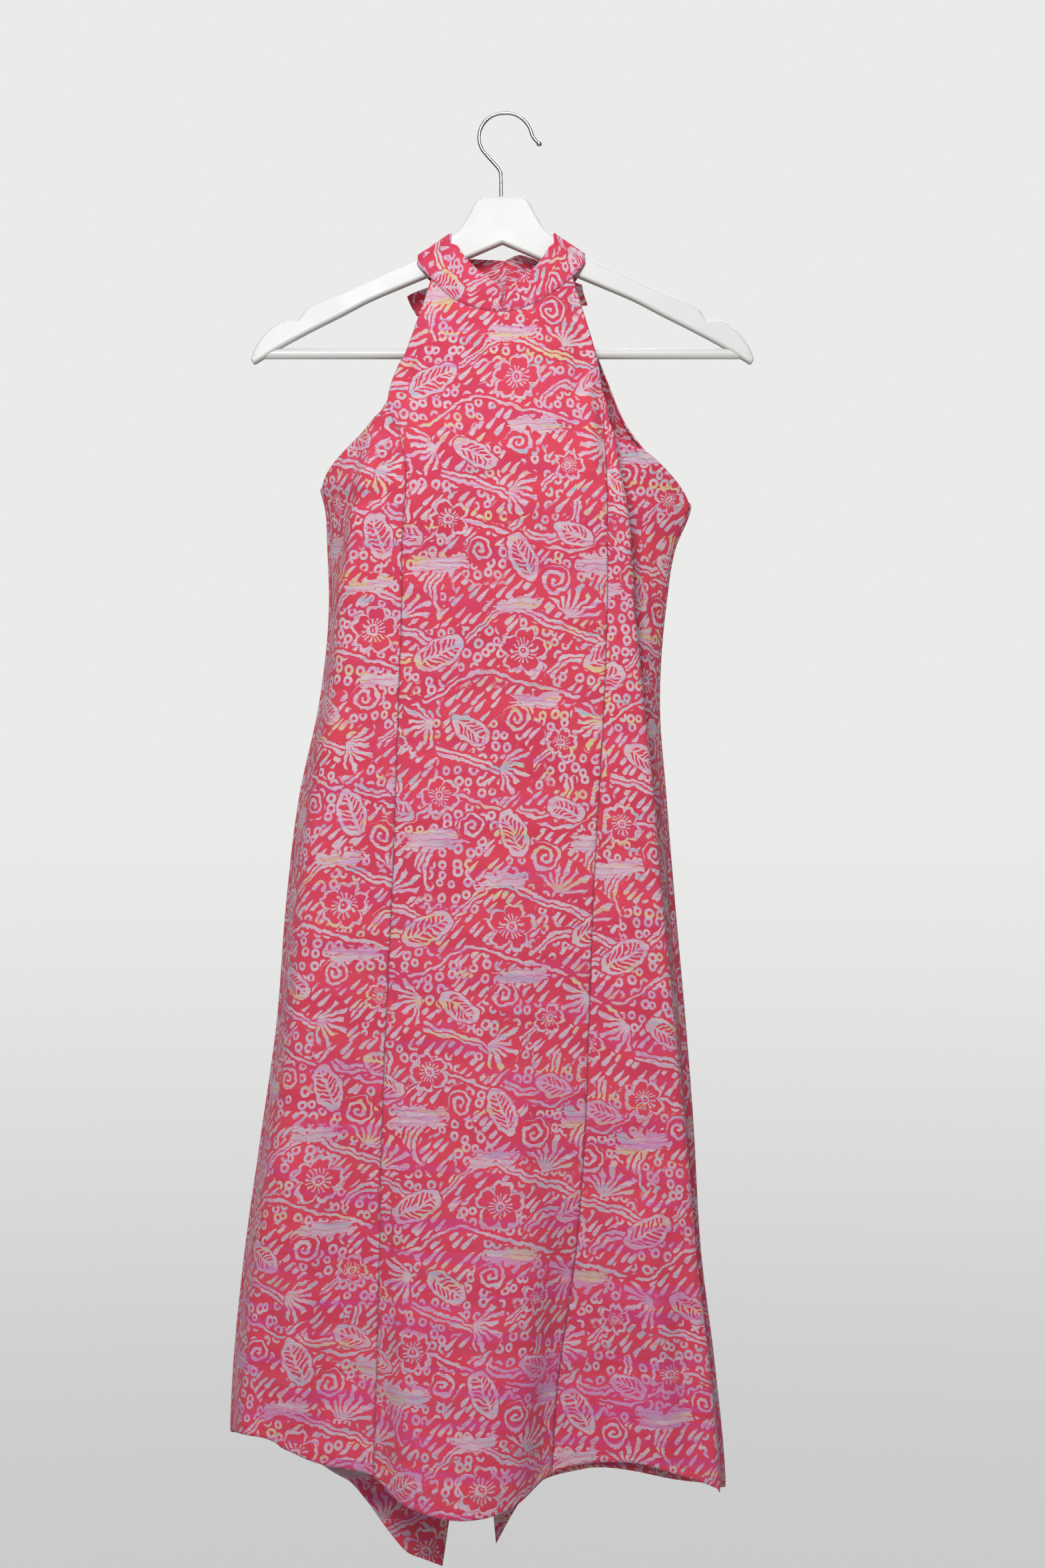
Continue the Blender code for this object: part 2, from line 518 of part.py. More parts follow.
def build():
    for obj in list(bpy.data.objects):
        bpy.data.objects.remove(obj, do_unlink=True)
    group = bpy.data.collections.new(NAME)
    cutters = bpy.data.collections.new(NAME + "_cutters")
    for collection in (group, cutters):
        bpy.context.scene.collection.children.link(collection)

    front, flank_l, flank_r, back_l, back_r, collar_l, collar_r = dress()
    pieces = (
        ("front_centre", front, CLOTH),
        ("front_side_wearers_right", flank_l, CLOTH),
        ("front_side_wearers_left", flank_r, CLOTH),
        ("back_wearers_right", back_l, CLOTH),
        ("back_wearers_left", back_r, CLOTH),
        ("collar_wearers_right", collar_l, BAND),
        ("collar_wearers_left", collar_r, BAND),
        ("tie_loop_wearers_right", loop(True), BAND),
        ("tie_loop_wearers_left", loop(False), BAND),
        ("tie_tail_wearers_right", tail(True), BAND),
        ("tie_tail_wearers_left", tail(False), BAND),
    )
    for name, points, wall in pieces:
        mat = material(name + "_cotton", (0.66, 0.08, 0.13), 0.85)
        sheet(name, points, wall, mat, group)
    knot("tie_knot", material("tie_knot_cotton", (0.66, 0.08, 0.13), 0.85), group)

    wood = material("hanger_body_painted_wood", (0.86, 0.86, 0.85), 0.45)
    body = plate("hanger_body", outline(), wood, group)
    rod("hanger_bar", [(HANGER_MIDDLE - BAR_HALF, BAR_Z), (HANGER_MIDDLE + BAR_HALF, BAR_Z)],
        [BAR_RADIUS] * 2, 20, material("hanger_bar_painted_wood", (0.86, 0.86, 0.85), 0.45), group)
    path, radius = hook_path()
    rod("hanger_hook", path, radius, 12,
        material("hanger_hook_chromed_steel", (0.75, 0.76, 0.77), 0.25, 1.0), group)
    blank = material("cutter", (0.5, 0.5, 0.5), 0.5)
    reach = BAR_HALF + GAP
    for name, x in (("socket_left", -1), ("socket_right", 1)):
        bore(name, body, [(HANGER_MIDDLE + x * 150.0, BAR_Z), (HANGER_MIDDLE + x * reach, BAR_Z)],
             BAR_RADIUS + GAP, blank, cutters)
    bore("stem_hole", body, [(-4.1, STEM_FOOT - GAP), (-4.1, -60.0)], WIRE_RADIUS + GAP, blank,
         cutters)


build()
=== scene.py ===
"""A printed cotton halter dress on a flat white wooden hanger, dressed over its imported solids.

Lengths in the tables are millimetres, in the frame of the solids: +X the viewer's right, -Y the
front of the dress, +Z up, and the origin where the hook bears.
"""
import bpy
import numpy as np
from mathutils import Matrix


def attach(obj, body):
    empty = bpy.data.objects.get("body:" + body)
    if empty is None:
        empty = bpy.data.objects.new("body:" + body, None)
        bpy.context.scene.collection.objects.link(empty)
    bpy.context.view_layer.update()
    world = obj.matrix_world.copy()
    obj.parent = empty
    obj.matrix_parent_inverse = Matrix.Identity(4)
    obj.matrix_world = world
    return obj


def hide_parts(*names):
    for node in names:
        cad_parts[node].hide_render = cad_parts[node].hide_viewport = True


MM = 0.001
CLOTH = 0.8          # wall of one layer of the printed cotton, thick enough to render cleanly
BAND = 1.5           # wall of the collar and ties, which are cloth folded double
BUTT = 0.04          # room between two panels where a seam joins them

# Form of the dress.
LEVELS = np.array((
    # z, out_l, turn_l, seam_l, seam_r, crest, side_r, out_r, y_mid, y_seam, y_side, y_back, step
    (-1290, -246, -229, -117.0, 36.0, 187.0, 190.0, 193.5, -96, -45, 1, 31, 3),
    (-1200, -244, -227, -114.2, 39.0, 184.0, 189.5, 193.2, -92, -46, 1, 30, 4),
    (-1100, -240, -222, -111.2, 45.5, 176.0, 179.5, 184.0, -83, -47, 1, 29, 8),
    (-1000, -230, -211, -108.6, 59.4, 164.0, 166.5, 172.0, -74, -48, 1, 28, 13),
    (-900, -216, -197, -106.6, 67.8, 155.0, 159.8, 166.2, -66, -49, 1, 27, 16),
    (-800, -202, -183, -102.7, 71.6, 145.0, 152.6, 158.5, -61, -50, 1, 27, 18),
    (-690, -193, -174, -97.6, 75.4, 134.2, 144.0, 148.6, -57, -50, 0, 27, 20),
    (-600, -182, -163, -94.4, 80.3, 126.6, 138.6, 141.2, -54, -50, 0, 26, 22),
    (-515, -164, -148, -91.7, 84.9, 117.8, 133.6, 135.2, -53, -49, 0, 26, 25),
    (-430, -155.6, -141, -88.8, 87.6, 110.0, 139.4, 140.6, -57, -52, 0, 29, 29),
    (-380, -157, -136, -88.2, 87.6, 107.0, 147.6, 148.6, -60, -56, 0, 31, 30),
    (-345, -159, -129, -85.9, 87.4, 103.0, 160.8, 162.0, -61, -58, 0, 33, 29),
    (-328, -163, -124, -84.6, 87.0, 99.8, 162.0, 163.0, -60, -57, -1, 33, 27),
    (-290, -163, -112, -90.8, 85.6, 94.0, 162.0, 163.0, -55, -48, -2, 32, 20),
    (-257, -163, -105, -101.6, 83.9, 88.5, 162.0, 163.0, -48, -39, -4, 30, 10),
    (-235, -163, -100, -96.6, 82.0, 87.0, 162.0, 163.0, -44, -35, -5, 29, 6),
    (-205, -163, -92, -83.6, 75.6, 84.0, 162.0, 163.0, -38, -29, -6, 28, 4),
    (-177, -163, -84, -74.2, 67.4, 80.0, 162.0, 163.0, -32, -23, -6, 26, 3),
    (-140, -163, -80, -63.0, 57.0, 76.0, 162.0, 163.0, -24, -13, -6, 24, 2),
))
STATIONS = 20
HEM = np.array((   # station round the dress, height of the hem
    (0, -1157), (0.6, -1151.5), (1.1, -1149.5), (1.45, -1152), (1.7, -1161), (2, -1169),
    (2.4, -1175.5), (3, -1182), (3.5, -1194), (4, -1199), (5, -1206),
    (6, -1199), (6.5, -1190), (7, -1180), (7.5, -1171), (8, -1172), (8.5, -1184), (9, -1195),
    (10, -1196), (11, -1200), (12, -1206), (13, -1208), (14, -1207), (15, -1199),
    (15.6, -1220), (16, -1266),
))
HEM_BACK_LEFT = np.array((
    (16, -1286), (16.25, -1280), (16.53, -1272), (16.74, -1256), (17.07, -1225), (17.22, -1211),
    (17.4, -1202), (17.6, -1191), (17.95, -1180), (18.15, -1170.5), (18.45, -1165), (19, -1160),
    (20, -1157),
))
ARMHOLE_LEFT = np.array(((0, -327), (0.5, -297), (1, -268), (2, -261), (3, -257)))
ARMHOLE_RIGHT = np.array(((7, -249), (8, -264), (9, -284), (10, -283), (11, -303), (12, -344)))
UNDERARM = (-327.0, -344.0)
SHOULDER = (-257.0, -249.0)
NECK = np.array(((-67, -144.7), (-56, -157.4), (-45, -168), (-31, -174.5), (-17, -178.2),
                 (0, -179.6), (14, -176.4), (27, -170.6), (41, -161), (52, -151.7), (60, -144)))
BACK_EDGE = np.array((   # share of the way up, x left, x right, y, z left, z right
    (0.00, -160.5, 162.0, 0, -327, -344),
    (0.22, -134.0, 130.0, 10, -295, -304),
    (0.42, -108.0, 104.0, 16, -262, -268),
    (0.60, -92.0, 89.0, 17, -228, -232),
    (0.80, -76.0, 73.0, 15, -188, -190),
    (1.00, -62.0, 58.5, 12, -149, -149),
))
BACK_SEAM_X = (0.0, -32.0)
BACK_SEAM_Z = np.array(((0.0, -336), (0.5, -250), (1.0, -156)))
KEYHOLE = (-246.0, 7.0)
VENT = (-1000.0, 20.0)
COLLAR_EDGE = np.array((   # step along the band, x left, x right, y, z left, z right
    (0, 0.0, 0.0, -30.0, -163.0, -163.0),
    (1, -5.0, 5.0, -28.0, -155.5, -157.5),
    (2, -13.0, 11.5, -25.5, -148.5, -151.0),
    (3, -22.5, 19.5, -22.0, -141.0, -144.0),
    (4, -31.0, 27.0, -18.0, -132.5, -136.5),
    (5, -37.0, 33.0, -13.5, -125.0, -127.5),
    (6, -42.0, 37.5, -10.2, -117.5, -119.0),
))
COLLAR_NAPE = np.array((
    (15.0, -43.0, 38.0, 9.5, -118.0, -120.0),
    (17.5, -36.0, 32.0, 14.0, -122.5, -125.5),
    (20.0, -25.0, 24.0, 18.0, -122.5, -122.0),
    (22.5, -12.0, 12.0, 21.0, -122.5, -118.0),
    (25.0, 0.0, 0.0, 23.5, -123.0, -122.0),
))
WRAP = np.array(((-7.6, -6.5), (-7.5, -2.4), (-6.3, 0.4), (-3.4, 1.5),
                 (3.4, 1.5), (6.3, 0.4), (7.5, -2.4), (7.6, -6.5)))
WRAP_LOW = (-77.0, 69.0)
WRAP_HIGH = (-48.0, 42.0)
HANGER_MIDDLE = -3.0
HANGER = np.array((   # across, z: half outline from the top of the head round to underneath
    (0, -72.5), (21.7, -72.5), (24.0, -76.0), (29.5, -88.0), (37.3, -100.0), (46.7, -107.9),
    (74.3, -126.3), (107.0, -141.3), (141.2, -156.9), (172.4, -171.2), (176.6, -177.4),
    (180.4, -181.0), (186.0, -180.6), (191.5, -180.8), (198.3, -184.6), (207.1, -191.5),
    (214.7, -201.3), (219.6, -211.0), (220.6, -215.6), (218.4, -218.8), (213.6, -216.4),
    (199.5, -207.4), (166.6, -189.5), (141.2, -176.7), (116.0, -163.6), (88.0, -151.6),
    (61.7, -140.6), (32.0, -127.0), (6.0, -114.6), (0, -113.2),
))
LOOP = np.array((   # x left, x right, y, z left, z right, half width
    (-9.35, 9.35, 32.5, -138, -138, 5.5),
    (-36.0, 32.0, 33.4, -144, -141, 9.0),
    (-62.0, 52.0, 34.2, -152, -146, 10.0),
    (-79.0, 64.5, 35.0, -158, -149, 10.0),
    (-84.0, 69.5, 38.0, -160, -150, 9.5),
    (-79.0, 64.5, 41.0, -158, -149, 10.0),
    (-62.0, 52.0, 41.0, -151, -145, 10.0),
    (-36.0, 32.0, 40.2, -143, -140, 9.0),
    (-9.35, 9.35, 38.5, -138, -138, 5.5),
))
TAIL = np.array((   # z left, z right, x left, x right, y left, y right, half width
    (-149.6, -149.6, -3.5, 3.5, 34.0, 38.5, 5.0),
    (-185.0, -180.0, -11.0, 9.0, 35.5, 40.0, 9.0),
    (-225.0, -215.0, -17.0, 15.0, 38.5, 42.5, 10.5),
    (-262.0, -246.0, -21.0, 19.0, 39.0, 43.0, 11.0),
    (-296.0, -276.0, -27.0, 22.0, 41.0, 45.0, 11.0),
))
# Soft creases, seen from the front: ends in x and z, half width, height (a trough is negative).
CREASES_FRONT = np.array((
    (-104, -262, -126, -345, 9, 2.2), (-126, -345, -136, -430, 10, 1.6),
    (-94, -268, -108, -350, 6, -1.4), (-136, -330, -148, -420, 8, -1.5),
    (79, -235, 88, -330, 6, -1.8), (70, -215, 76, -330, 9, 1.5), (90, -300, 97, -400, 5, -1.2),
    (62, -190, 66, -260, 7, -1.0), (-80, -205, -84, -262, 7, -1.2), (-66, -180, -72, -240, 8, 1.0),
    (-30, -330, -60, -420, 16, -1.0), (30, -345, 44, -440, 18, -1.1),
    (-50, -470, -20, -500, 12, 0.9), (10, -520, 60, -505, 12, -0.9),
    (-118, -520, -126, -700, 12, -1.5), (-132, -600, -146, -850, 14, 1.3),
    (-128, -820, -140, -1150, 16, -2.2), (-170, -900, -186, -1158, 18, 2.4),
    (-154, -980, -160, -1165, 12, -1.6), (-205, -1010, -214, -1150, 12, -1.8),
    (90, -560, 96, -760, 10, -1.3), (104, -640, 112, -900, 11, 1.3),
    (96, -860, 92, -1160, 14, -2.0), (126, -930, 134, -1175, 14, 2.0),
    (110, -1040, 112, -1172, 9, -1.4), (152, -1020, 160, -1180, 10, -1.5),
    (-60, -760, -70, -1190, 16, -1.4), (-20, -640, -24, -900, 22, 1.0),
    (18, -820, 6, -1196, 18, 1.3), (36, -700, 40, -960, 14, -1.0),
    (-84, -900, -92, -1180, 10, 1.2), (-36, -1000, -40, -1204, 12, -1.1),
))
CREASES_BACK = np.array((
    (-30, -170, -70, -320, 10, 1.8), (26, -170, 64, -325, 11, 1.7), (-10, -260, -40, -420, 12, -1.4),
    (14, -270, 36, -430, 12, -1.3), (-110, -330, -122, -470, 12, -1.5), (104, -345, 108, -480, 11, -1.5),
    (-70, -430, -74, -700, 18, 1.5), (60, -450, 52, -740, 17, 1.4), (-20, -520, -28, -860, 15, -1.3),
    (-130, -640, -150, -1130, 18, 2.3), (-95, -760, -110, -1210, 14, -2.1),
    (110, -660, 126, -1180, 18, 2.2), (76, -760, 84, -1190, 14, -2.0), (20, -820, 26, -1220, 15, 1.6),
    (-62, -860, -74, -1240, 12, 1.7), (-186, -840, -206, -1150, 13, -1.7),
    (150, -880, 164, -1190, 12, -1.6), (44, -980, 52, -1200, 10, -1.2),
))


def smooth(at, xs, ys):
    """Cubic through the points (xs, ys) whose slope at each is the mean of its neighbours'."""
    xs, ys = np.asarray(xs, float), np.asarray(ys, float)
    slope = np.gradient(ys, xs, axis=0)
    at = np.clip(np.asarray(at, float), xs[0], xs[-1])
    i = np.clip(np.searchsorted(xs, at, side="right") - 1, 0, len(xs) - 2)
    h = xs[i + 1] - xs[i]
    t = (at - xs[i]) / h
    if ys.ndim > 1:
        t, h = t[..., None], h[..., None]
    return ((1 + 2 * t) * (1 - t) ** 2 * ys[i] + t * (1 - t) ** 2 * h * slope[i]
            + t * t * (3 - 2 * t) * ys[i + 1] + t * t * (t - 1) * h * slope[i + 1])


def back_seam_x(z):
    """Centre back seam: x runs straight from its value at the nape to its value at the hem."""
    return BACK_SEAM_X[0] + (BACK_SEAM_X[1] - BACK_SEAM_X[0]) * (z + 156.0) / -1130.0


def section(z):
    """Twenty points of the closed cross-section at each height, built from the level table."""
    (out_l, turn_l, seam_l, seam_r, crest, side_r, out_r, mid, seam, side, back, step) = (
        np.moveaxis(smooth(z, LEVELS[:, 0], LEVELS[:, 1:]), -1, 0))
    wide, front = out_r - out_l, seam_r - seam_l
    points = (
        (out_l + 2.5, side), (turn_l, seam + 0.22 * (side - seam)),
        (0.5 * (turn_l + seam_l), seam + 2.5), (seam_l, seam),
        (seam_l + 0.22 * front, 0.75 * mid + 0.25 * seam), (0.5 * (seam_l + seam_r), mid),
        (seam_r - 0.22 * front, 0.75 * mid + 0.25 * seam), (seam_r, seam),
        (0.45 * seam_r + 0.55 * crest, seam - 0.5), (crest, seam + 3.0),
        (crest - 0.5, seam + 3.0 + step),
        (0.5 * (crest + side_r), 0.45 * (seam + 3.0 + step) + 0.55 * side - 3.0),
        (side_r, side), (out_r, side + 0.3 * (back - side)),
        (out_r - 0.10 * wide, back - 4.0), (out_r - 0.30 * wide, back),
        (back_seam_x(z), back + 1.0),
        (out_l + 0.30 * wide, back), (out_l + 0.10 * wide, back - 4.0),
        (out_l, side + 0.3 * (back - side)),
    )
    return np.stack([np.stack(np.broadcast_arrays(x, y), -1) for x, y in points], -2)


def cloth(station, z):
    """Centripetal curve through a section's points, read at a station number and a height."""
    station, z = np.broadcast_arrays(np.asarray(station, float), np.asarray(z, float))
    ring = section(z)
    i = np.floor(station).astype(int)
    t = (station - i)[..., None]
    p = [np.take_along_axis(ring, ((i + k) % STATIONS)[..., None, None], -2)[..., 0, :]
         for k in (-1, 0, 1, 2)]
    d = [np.sqrt(np.linalg.norm(p[k + 1] - p[k], axis=-1, keepdims=True)) + 1e-6
         for k in (0, 1, 2)]
    m = (p[1] - p[0]) / d[0] - (p[2] - p[0]) / (d[0] + d[1]) + (p[2] - p[1]) / d[1]
    n = (p[2] - p[1]) / d[1] - (p[3] - p[1]) / (d[1] + d[2]) + (p[3] - p[2]) / d[2]
    m, n = m * d[1], n * d[1]
    xy = ((1 + 2 * t) * (1 - t) ** 2 * p[1] + t * (1 - t) ** 2 * m
          + t * t * (3 - 2 * t) * p[2] + t * t * (t - 1) * n)
    return np.concatenate((xy, z[..., None]), -1)


def even(start, stop, count, z):
    """Station numbers spaced evenly by length along the section at one height."""
    fine = np.linspace(start, stop, 900)
    line = cloth(fine, np.full(900, float(z)))
    run = np.concatenate(((0,), np.cumsum(np.linalg.norm(np.diff(line, axis=0), axis=1))))
    return np.interp(np.linspace(0, run[-1], count), run, fine)


ROWS = 300


def front_grid(start, stop, count, armhole):
    """A side panel of the front: straight rows from its hem to its armhole edge."""
    station = even(start, stop, count, -700)[:, None]
    foot = smooth(station, HEM[:, 0], HEM[:, 1])
    head = smooth(station, armhole[:, 0], armhole[:, 1])
    return cloth(station, foot + (head - foot) * np.linspace(0, 1, ROWS)[None, :])


def centre_grid(count, above):
    """The middle front: the side panels' rows, then rows from the shoulder up to the neck."""
    station = even(3, 7, count, -700)[:, None]
    foot = smooth(station, HEM[:, 0], HEM[:, 1])
    head = SHOULDER[0] + (SHOULDER[1] - SHOULDER[0]) * (station - 3) / 4
    top = head + 90.0
    for _ in range(12):
        top = np.interp(cloth(station, top)[..., 0], NECK[:, 0], NECK[:, 1])
    share, rise = np.linspace(0, 1, ROWS)[None, :], np.linspace(0, 1, above + 1)[None, 1:]
    return cloth(station, np.concatenate((foot + (head - foot) * share,
                                          head + (top - head) * rise), 1))


def back_grid(left, count, above):
    """Half of the back: rows of the section up to the underarm, then scaled copies of the last
    row whose outer end follows the armhole and whose inner end follows the back seam."""
    station = (even(16, 20, count, -700)[::-1] if left else even(12, 16, count, -700))[:, None]
    hem = HEM_BACK_LEFT if left else HEM
    under = UNDERARM[0 if left else 1]
    across = np.abs(station - (20 if left else 12)) / 4.0
    head = under + (BACK_SEAM_Z[0, 1] - under) * across
    foot = smooth(station, hem[:, 0], hem[:, 1])
    lower = cloth(station, foot + (head - foot) * np.linspace(0, 1, ROWS)[None, :])
    root = lower[:, -1]
    rise = np.linspace(0, 1, above + 1)[1:]
    edge = smooth(rise, BACK_EDGE[:, 0], BACK_EDGE[:, (1 if left else 2, 3, 4 if left else 5)])
    seam_z = smooth(rise, BACK_SEAM_Z[:, 0], BACK_SEAM_Z[:, 1])
    seam_x = back_seam_x(seam_z)
    seam_y = smooth(seam_z, LEVELS[:, 0], LEVELS[:, 11]) + 1.0
    width = (root[:, :1] - root[-1, 0]) / (root[0, 0] - root[-1, 0])
    depth = (root[:, 1:2] - root[-1, 1]) / (root[0, 1] - root[-1, 1])
    x = seam_x + (edge[:, 0] - seam_x) * width
    y = seam_y + (edge[:, 1] - seam_y) * depth
    z = edge[:, 2] + (seam_z - edge[:, 2]) * across ** 1.4
    points = np.concatenate((lower, np.stack((x, y, z), -1)), 1)
    deep = np.clip((VENT[0] - points[..., 2]) / 245.0, 0, 1.3)
    high = np.clip((points[..., 2] - KEYHOLE[0]) / (-156.0 - KEYHOLE[0]), 0, 1)
    aside = VENT[1] * deep ** 1.4 + KEYHOLE[1] * np.sin(np.pi * high ** 0.8)
    points[..., 0] += (-1 if left else 1) * aside * across ** 3
    return points


def arm_top(x):
    """Height of the hanger's top edge at x."""
    top = HANGER[1:19]
    return float(np.interp(abs(x - HANGER_MIDDLE), top[:, 0], top[:, 1]))


def collar_grid(left, front, behind, count=14):
    """Half of the collar: straight rulings from its seam edge to its free edge."""
    side = 0 if left else 1
    mid = front.shape[0] // 2
    fore = front[:mid + 1, -1][::-1] if left else front[mid:, -1]
    aft = behind[:, -1]
    low_wrap, high_wrap = (np.stack((np.full(8, x), WRAP[:, 0], arm_top(x) + 1.2 * WRAP[:, 1]), -1)
                           for x in (WRAP_LOW[side], WRAP_HIGH[side]))
    step_low = np.concatenate((np.linspace(0, 6, len(fore)), np.arange(7, 15),
                               np.linspace(15, 25, len(aft))))
    low = np.concatenate((fore, low_wrap, aft))
    step_high = np.concatenate((COLLAR_EDGE[:, 0], np.arange(7, 15), COLLAR_NAPE[:, 0]))
    pick = (1 + side, 3, 4 + side)
    high = np.concatenate((COLLAR_EDGE[:, pick], high_wrap, COLLAR_NAPE[:, pick]))
    at = np.unique(np.concatenate((np.linspace(0, 6, 36), np.linspace(6, 15, 54),
                                   np.linspace(15, 25, 60))))
    a = np.stack([np.interp(at, step_low, low[:, k]) for k in range(3)], -1)
    wrapped = smooth(at, step_low[len(fore) - 2:len(fore) + 10], low[len(fore) - 2:len(fore) + 10])
    inside = (at > 6) & (at < 15)
    a[inside] = wrapped[inside]
    b = smooth(at, step_high, high)
    b[:, 0] += a[0, 0] * np.clip(1 - at / 6, 0, 1) + a[-1, 0] * np.clip((at - 15) / 10, 0, 1) ** 3
    return a[:, None] + (b - a)[:, None] * np.linspace(0, 1, count)[None, :, None]


def normals(points):
    """Unit normals of a grid, from the cross product of its two directions."""
    n = np.cross(np.gradient(points, axis=0), np.gradient(points, axis=1))
    return n / np.maximum(np.linalg.norm(n, axis=-1, keepdims=True), 1e-9)


def run_across(points):
    """Length along each row, from the first column."""
    step = np.linalg.norm(np.diff(points, axis=0), axis=-1)
    return np.concatenate((np.zeros((1, points.shape[1])), np.cumsum(step, 0)))


def run_up(points):
    """Length up each column, from the first row."""
    step = np.linalg.norm(np.diff(points, axis=1), axis=-1)
    return np.concatenate((np.zeros((points.shape[0], 1)), np.cumsum(step, 1)), 1)


def creases(points, table):
    """Sum of soft ridges: each falls off as a bell across its line and fades at its two ends."""
    x, z = points[..., 0], points[..., 2]
    total = np.zeros_like(x)
    for x0, z0, x1, z1, width, height in table:
        long = np.hypot(x1 - x0, z1 - z0)
        ux, uz = (x1 - x0) / long, (z1 - z0) / long
        along = ((x - x0) * ux + (z - z0) * uz) / long
        wander = 0.25 * width * np.sin(5.0 * along + 0.13 * width * x0)
        off = (x - x0) * uz - (z - z0) * ux + wander
        fade = np.clip(np.minimum(along, 1 - along) / 0.22 + 0.15, 0, 1)
        total += height * fade ** 2 * (3 - 2 * fade) * np.exp(-(off / width) ** 2)
    return total


def pucker(distance, along, seed):
    """Small uneven waves beside a sewn line, dying away within a few millimetres."""
    wave = np.sin(along / 2.9 + seed) + 0.7 * np.sin(along / 1.7 + 2.1 * seed)
    return 0.16 * wave * np.exp(-(distance / 7.0) ** 2) - 0.50 * np.exp(-(distance / 1.2) ** 2)


def inwards(points, ends):
    """The named ends of a grid drawn in by half of the room that a seam leaves."""
    out = points.copy()
    for end in ends:
        inner = -2 if end == -1 else 1
        way = points[inner] - points[end]
        out[end] += 0.5 * BUTT * way / np.linalg.norm(way, axis=-1, keepdims=True)
    return out


# Meshes.
def finish_mesh(name, verts, faces, mat, uv=None, marks=None):
    """Mesh object at the origin from numpy arrays, smooth shaded, with its UV map and marks."""
    mesh = bpy.data.meshes.new(name)
    mesh.from_pydata((np.asarray(verts, float) * MM).tolist(), [], faces)
    mesh.update()
    mesh.polygons.foreach_set("use_smooth", np.ones(len(mesh.polygons), bool))
    if uv is not None:
        corner = np.empty(len(mesh.loops), np.int32)
        mesh.loops.foreach_get("vertex_index", corner)
        layer = mesh.uv_layers.new(name="cloth")
        layer.data.foreach_set("uv", (np.asarray(uv) * MM)[corner].ravel())
    for key, value in (marks or {}).items():
        layer = mesh.attributes.new(key, "FLOAT", "POINT")
        layer.data.foreach_set("value", np.asarray(value, np.float32).ravel())
    mesh.materials.append(mat)
    obj = bpy.data.objects.new(name, mesh)
    bpy.context.scene.collection.objects.link(obj)
    return obj


def grid_faces(nu, nv):
    """Four-sided faces of a grid: each corner with its neighbours along both directions."""
    i, j = np.meshgrid(np.arange(nu - 1), np.arange(nv - 1), indexing="ij")
    a = (i * nv + j).ravel()
    return np.stack((a, a + nv, a + nv + 1, a + 1), 1).tolist()


def grid_area(points):
    """Area of a grid in square metres, as the sum of its cells' half diagonal products."""
    a, b = points[1:, 1:] - points[:-1, :-1], points[:-1, 1:] - points[1:, :-1]
    return 0.5 * np.linalg.norm(np.cross(a, b), axis=-1).sum() * MM * MM


def sheet_piece(name, points, uv, marks, mat, wall, node):
    """A grid made a thin closed shell and put in place of its CAD node."""
    nu, nv = points.shape[:2]
    obj = finish_mesh(name, points.reshape(-1, 3), grid_faces(nu, nv), mat,
                      uv.reshape(-1, 2), marks)
    wall_mod = obj.modifiers.new("wall", "SOLIDIFY")
    wall_mod.thickness = wall * MM
    wall_mod.offset = 0.0
    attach(obj, "root")
    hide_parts(node)
    area = grid_area(points)
    return obj


# Nodes and the numbers that run through them.
def linear(code):
    """Linear colour from an sRGB hex code."""
    c = np.array([int(code[k:k + 2], 16) / 255.0 for k in (1, 3, 5)])
    c = np.where(c <= 0.04045, c / 12.92, ((c + 0.055) / 1.055) ** 2.4)
    return (*[float(v) for v in c], 1.0)


def add(tree, kind, *values, out=0, **settings):
    """New node with its settings; values fill its inputs in order, None leaves one alone."""
    node = tree.nodes.new(kind)
    for key, value in settings.items():
        setattr(node, key, value)
    for socket, value in zip(node.inputs, values):
        if isinstance(value, bpy.types.NodeSocket):
            tree.links.new(value, socket)
        elif value is not None:
            socket.default_value = value
    return node.outputs[out]


class Val:
    """A number in a shader, in millimetres or a share; arithmetic on it adds Math nodes."""

    def __init__(self, tree, socket):
        self.tree, self.s = tree, socket

    def op(self, kind, *others):
        others = [o.s if isinstance(o, Val) else o for o in others]
        return Val(self.tree, add(self.tree, "ShaderNodeMath", self.s, *others, operation=kind))

    def __add__(self, o):
        return self.op("ADD", o)

    def __sub__(self, o):
        return self.op("SUBTRACT", o)

    def __mul__(self, o):
        return self.op("MULTIPLY", o)

    def __truediv__(self, o):
        return self.op("DIVIDE", o)

    def wrap(self, period):
        return self.op("WRAP", 0.5 * period, -0.5 * period)

    def ramp(self, none, full):
        """Nought at one value and one at the other, eased between and held beyond them."""
        return Val(self.tree, add(self.tree, "ShaderNodeMapRange", self.s, none, full, 0.0, 1.0,
                                  interpolation_type="SMOOTHSTEP", clamp=False))

    def below(self, limit, soft=0.7):
        """One where the number is under the limit, nought above, with a soft edge."""
        if isinstance(limit, Val):
            return (self - limit).ramp(0.5 * soft, -0.5 * soft)
        return self.ramp(limit + 0.5 * soft, limit - 0.5 * soft)

    def line(self, width, soft=0.7):
        """One within half the width of nought."""
        return self.op("ABSOLUTE").below(0.5 * width, soft)

    def hide(self, cover):
        """This number where the cover is nought, and nought where it is one."""
        return self * cover.op("MULTIPLY_ADD", -1.0, 1.0)

    def over(self, mark, area):
        """A mark laid over what was there, with the ground cleared inside its area."""
        return self.hide(area).op("MAXIMUM", mark)


def blend(tree, factor, a, b):
    """Colour a where the factor is nought and b where it is one."""
    node = tree.nodes.new("ShaderNodeMix")
    node.data_type = "RGBA"
    for socket, value in ((node.inputs[0], factor), (node.inputs[6], a), (node.inputs[7], b)):
        if isinstance(value, bpy.types.NodeSocket):
            tree.links.new(value, socket)
        else:
            socket.default_value = value
    return node.outputs[2]


TILE_U, TILE_V = 146.0, 236.0


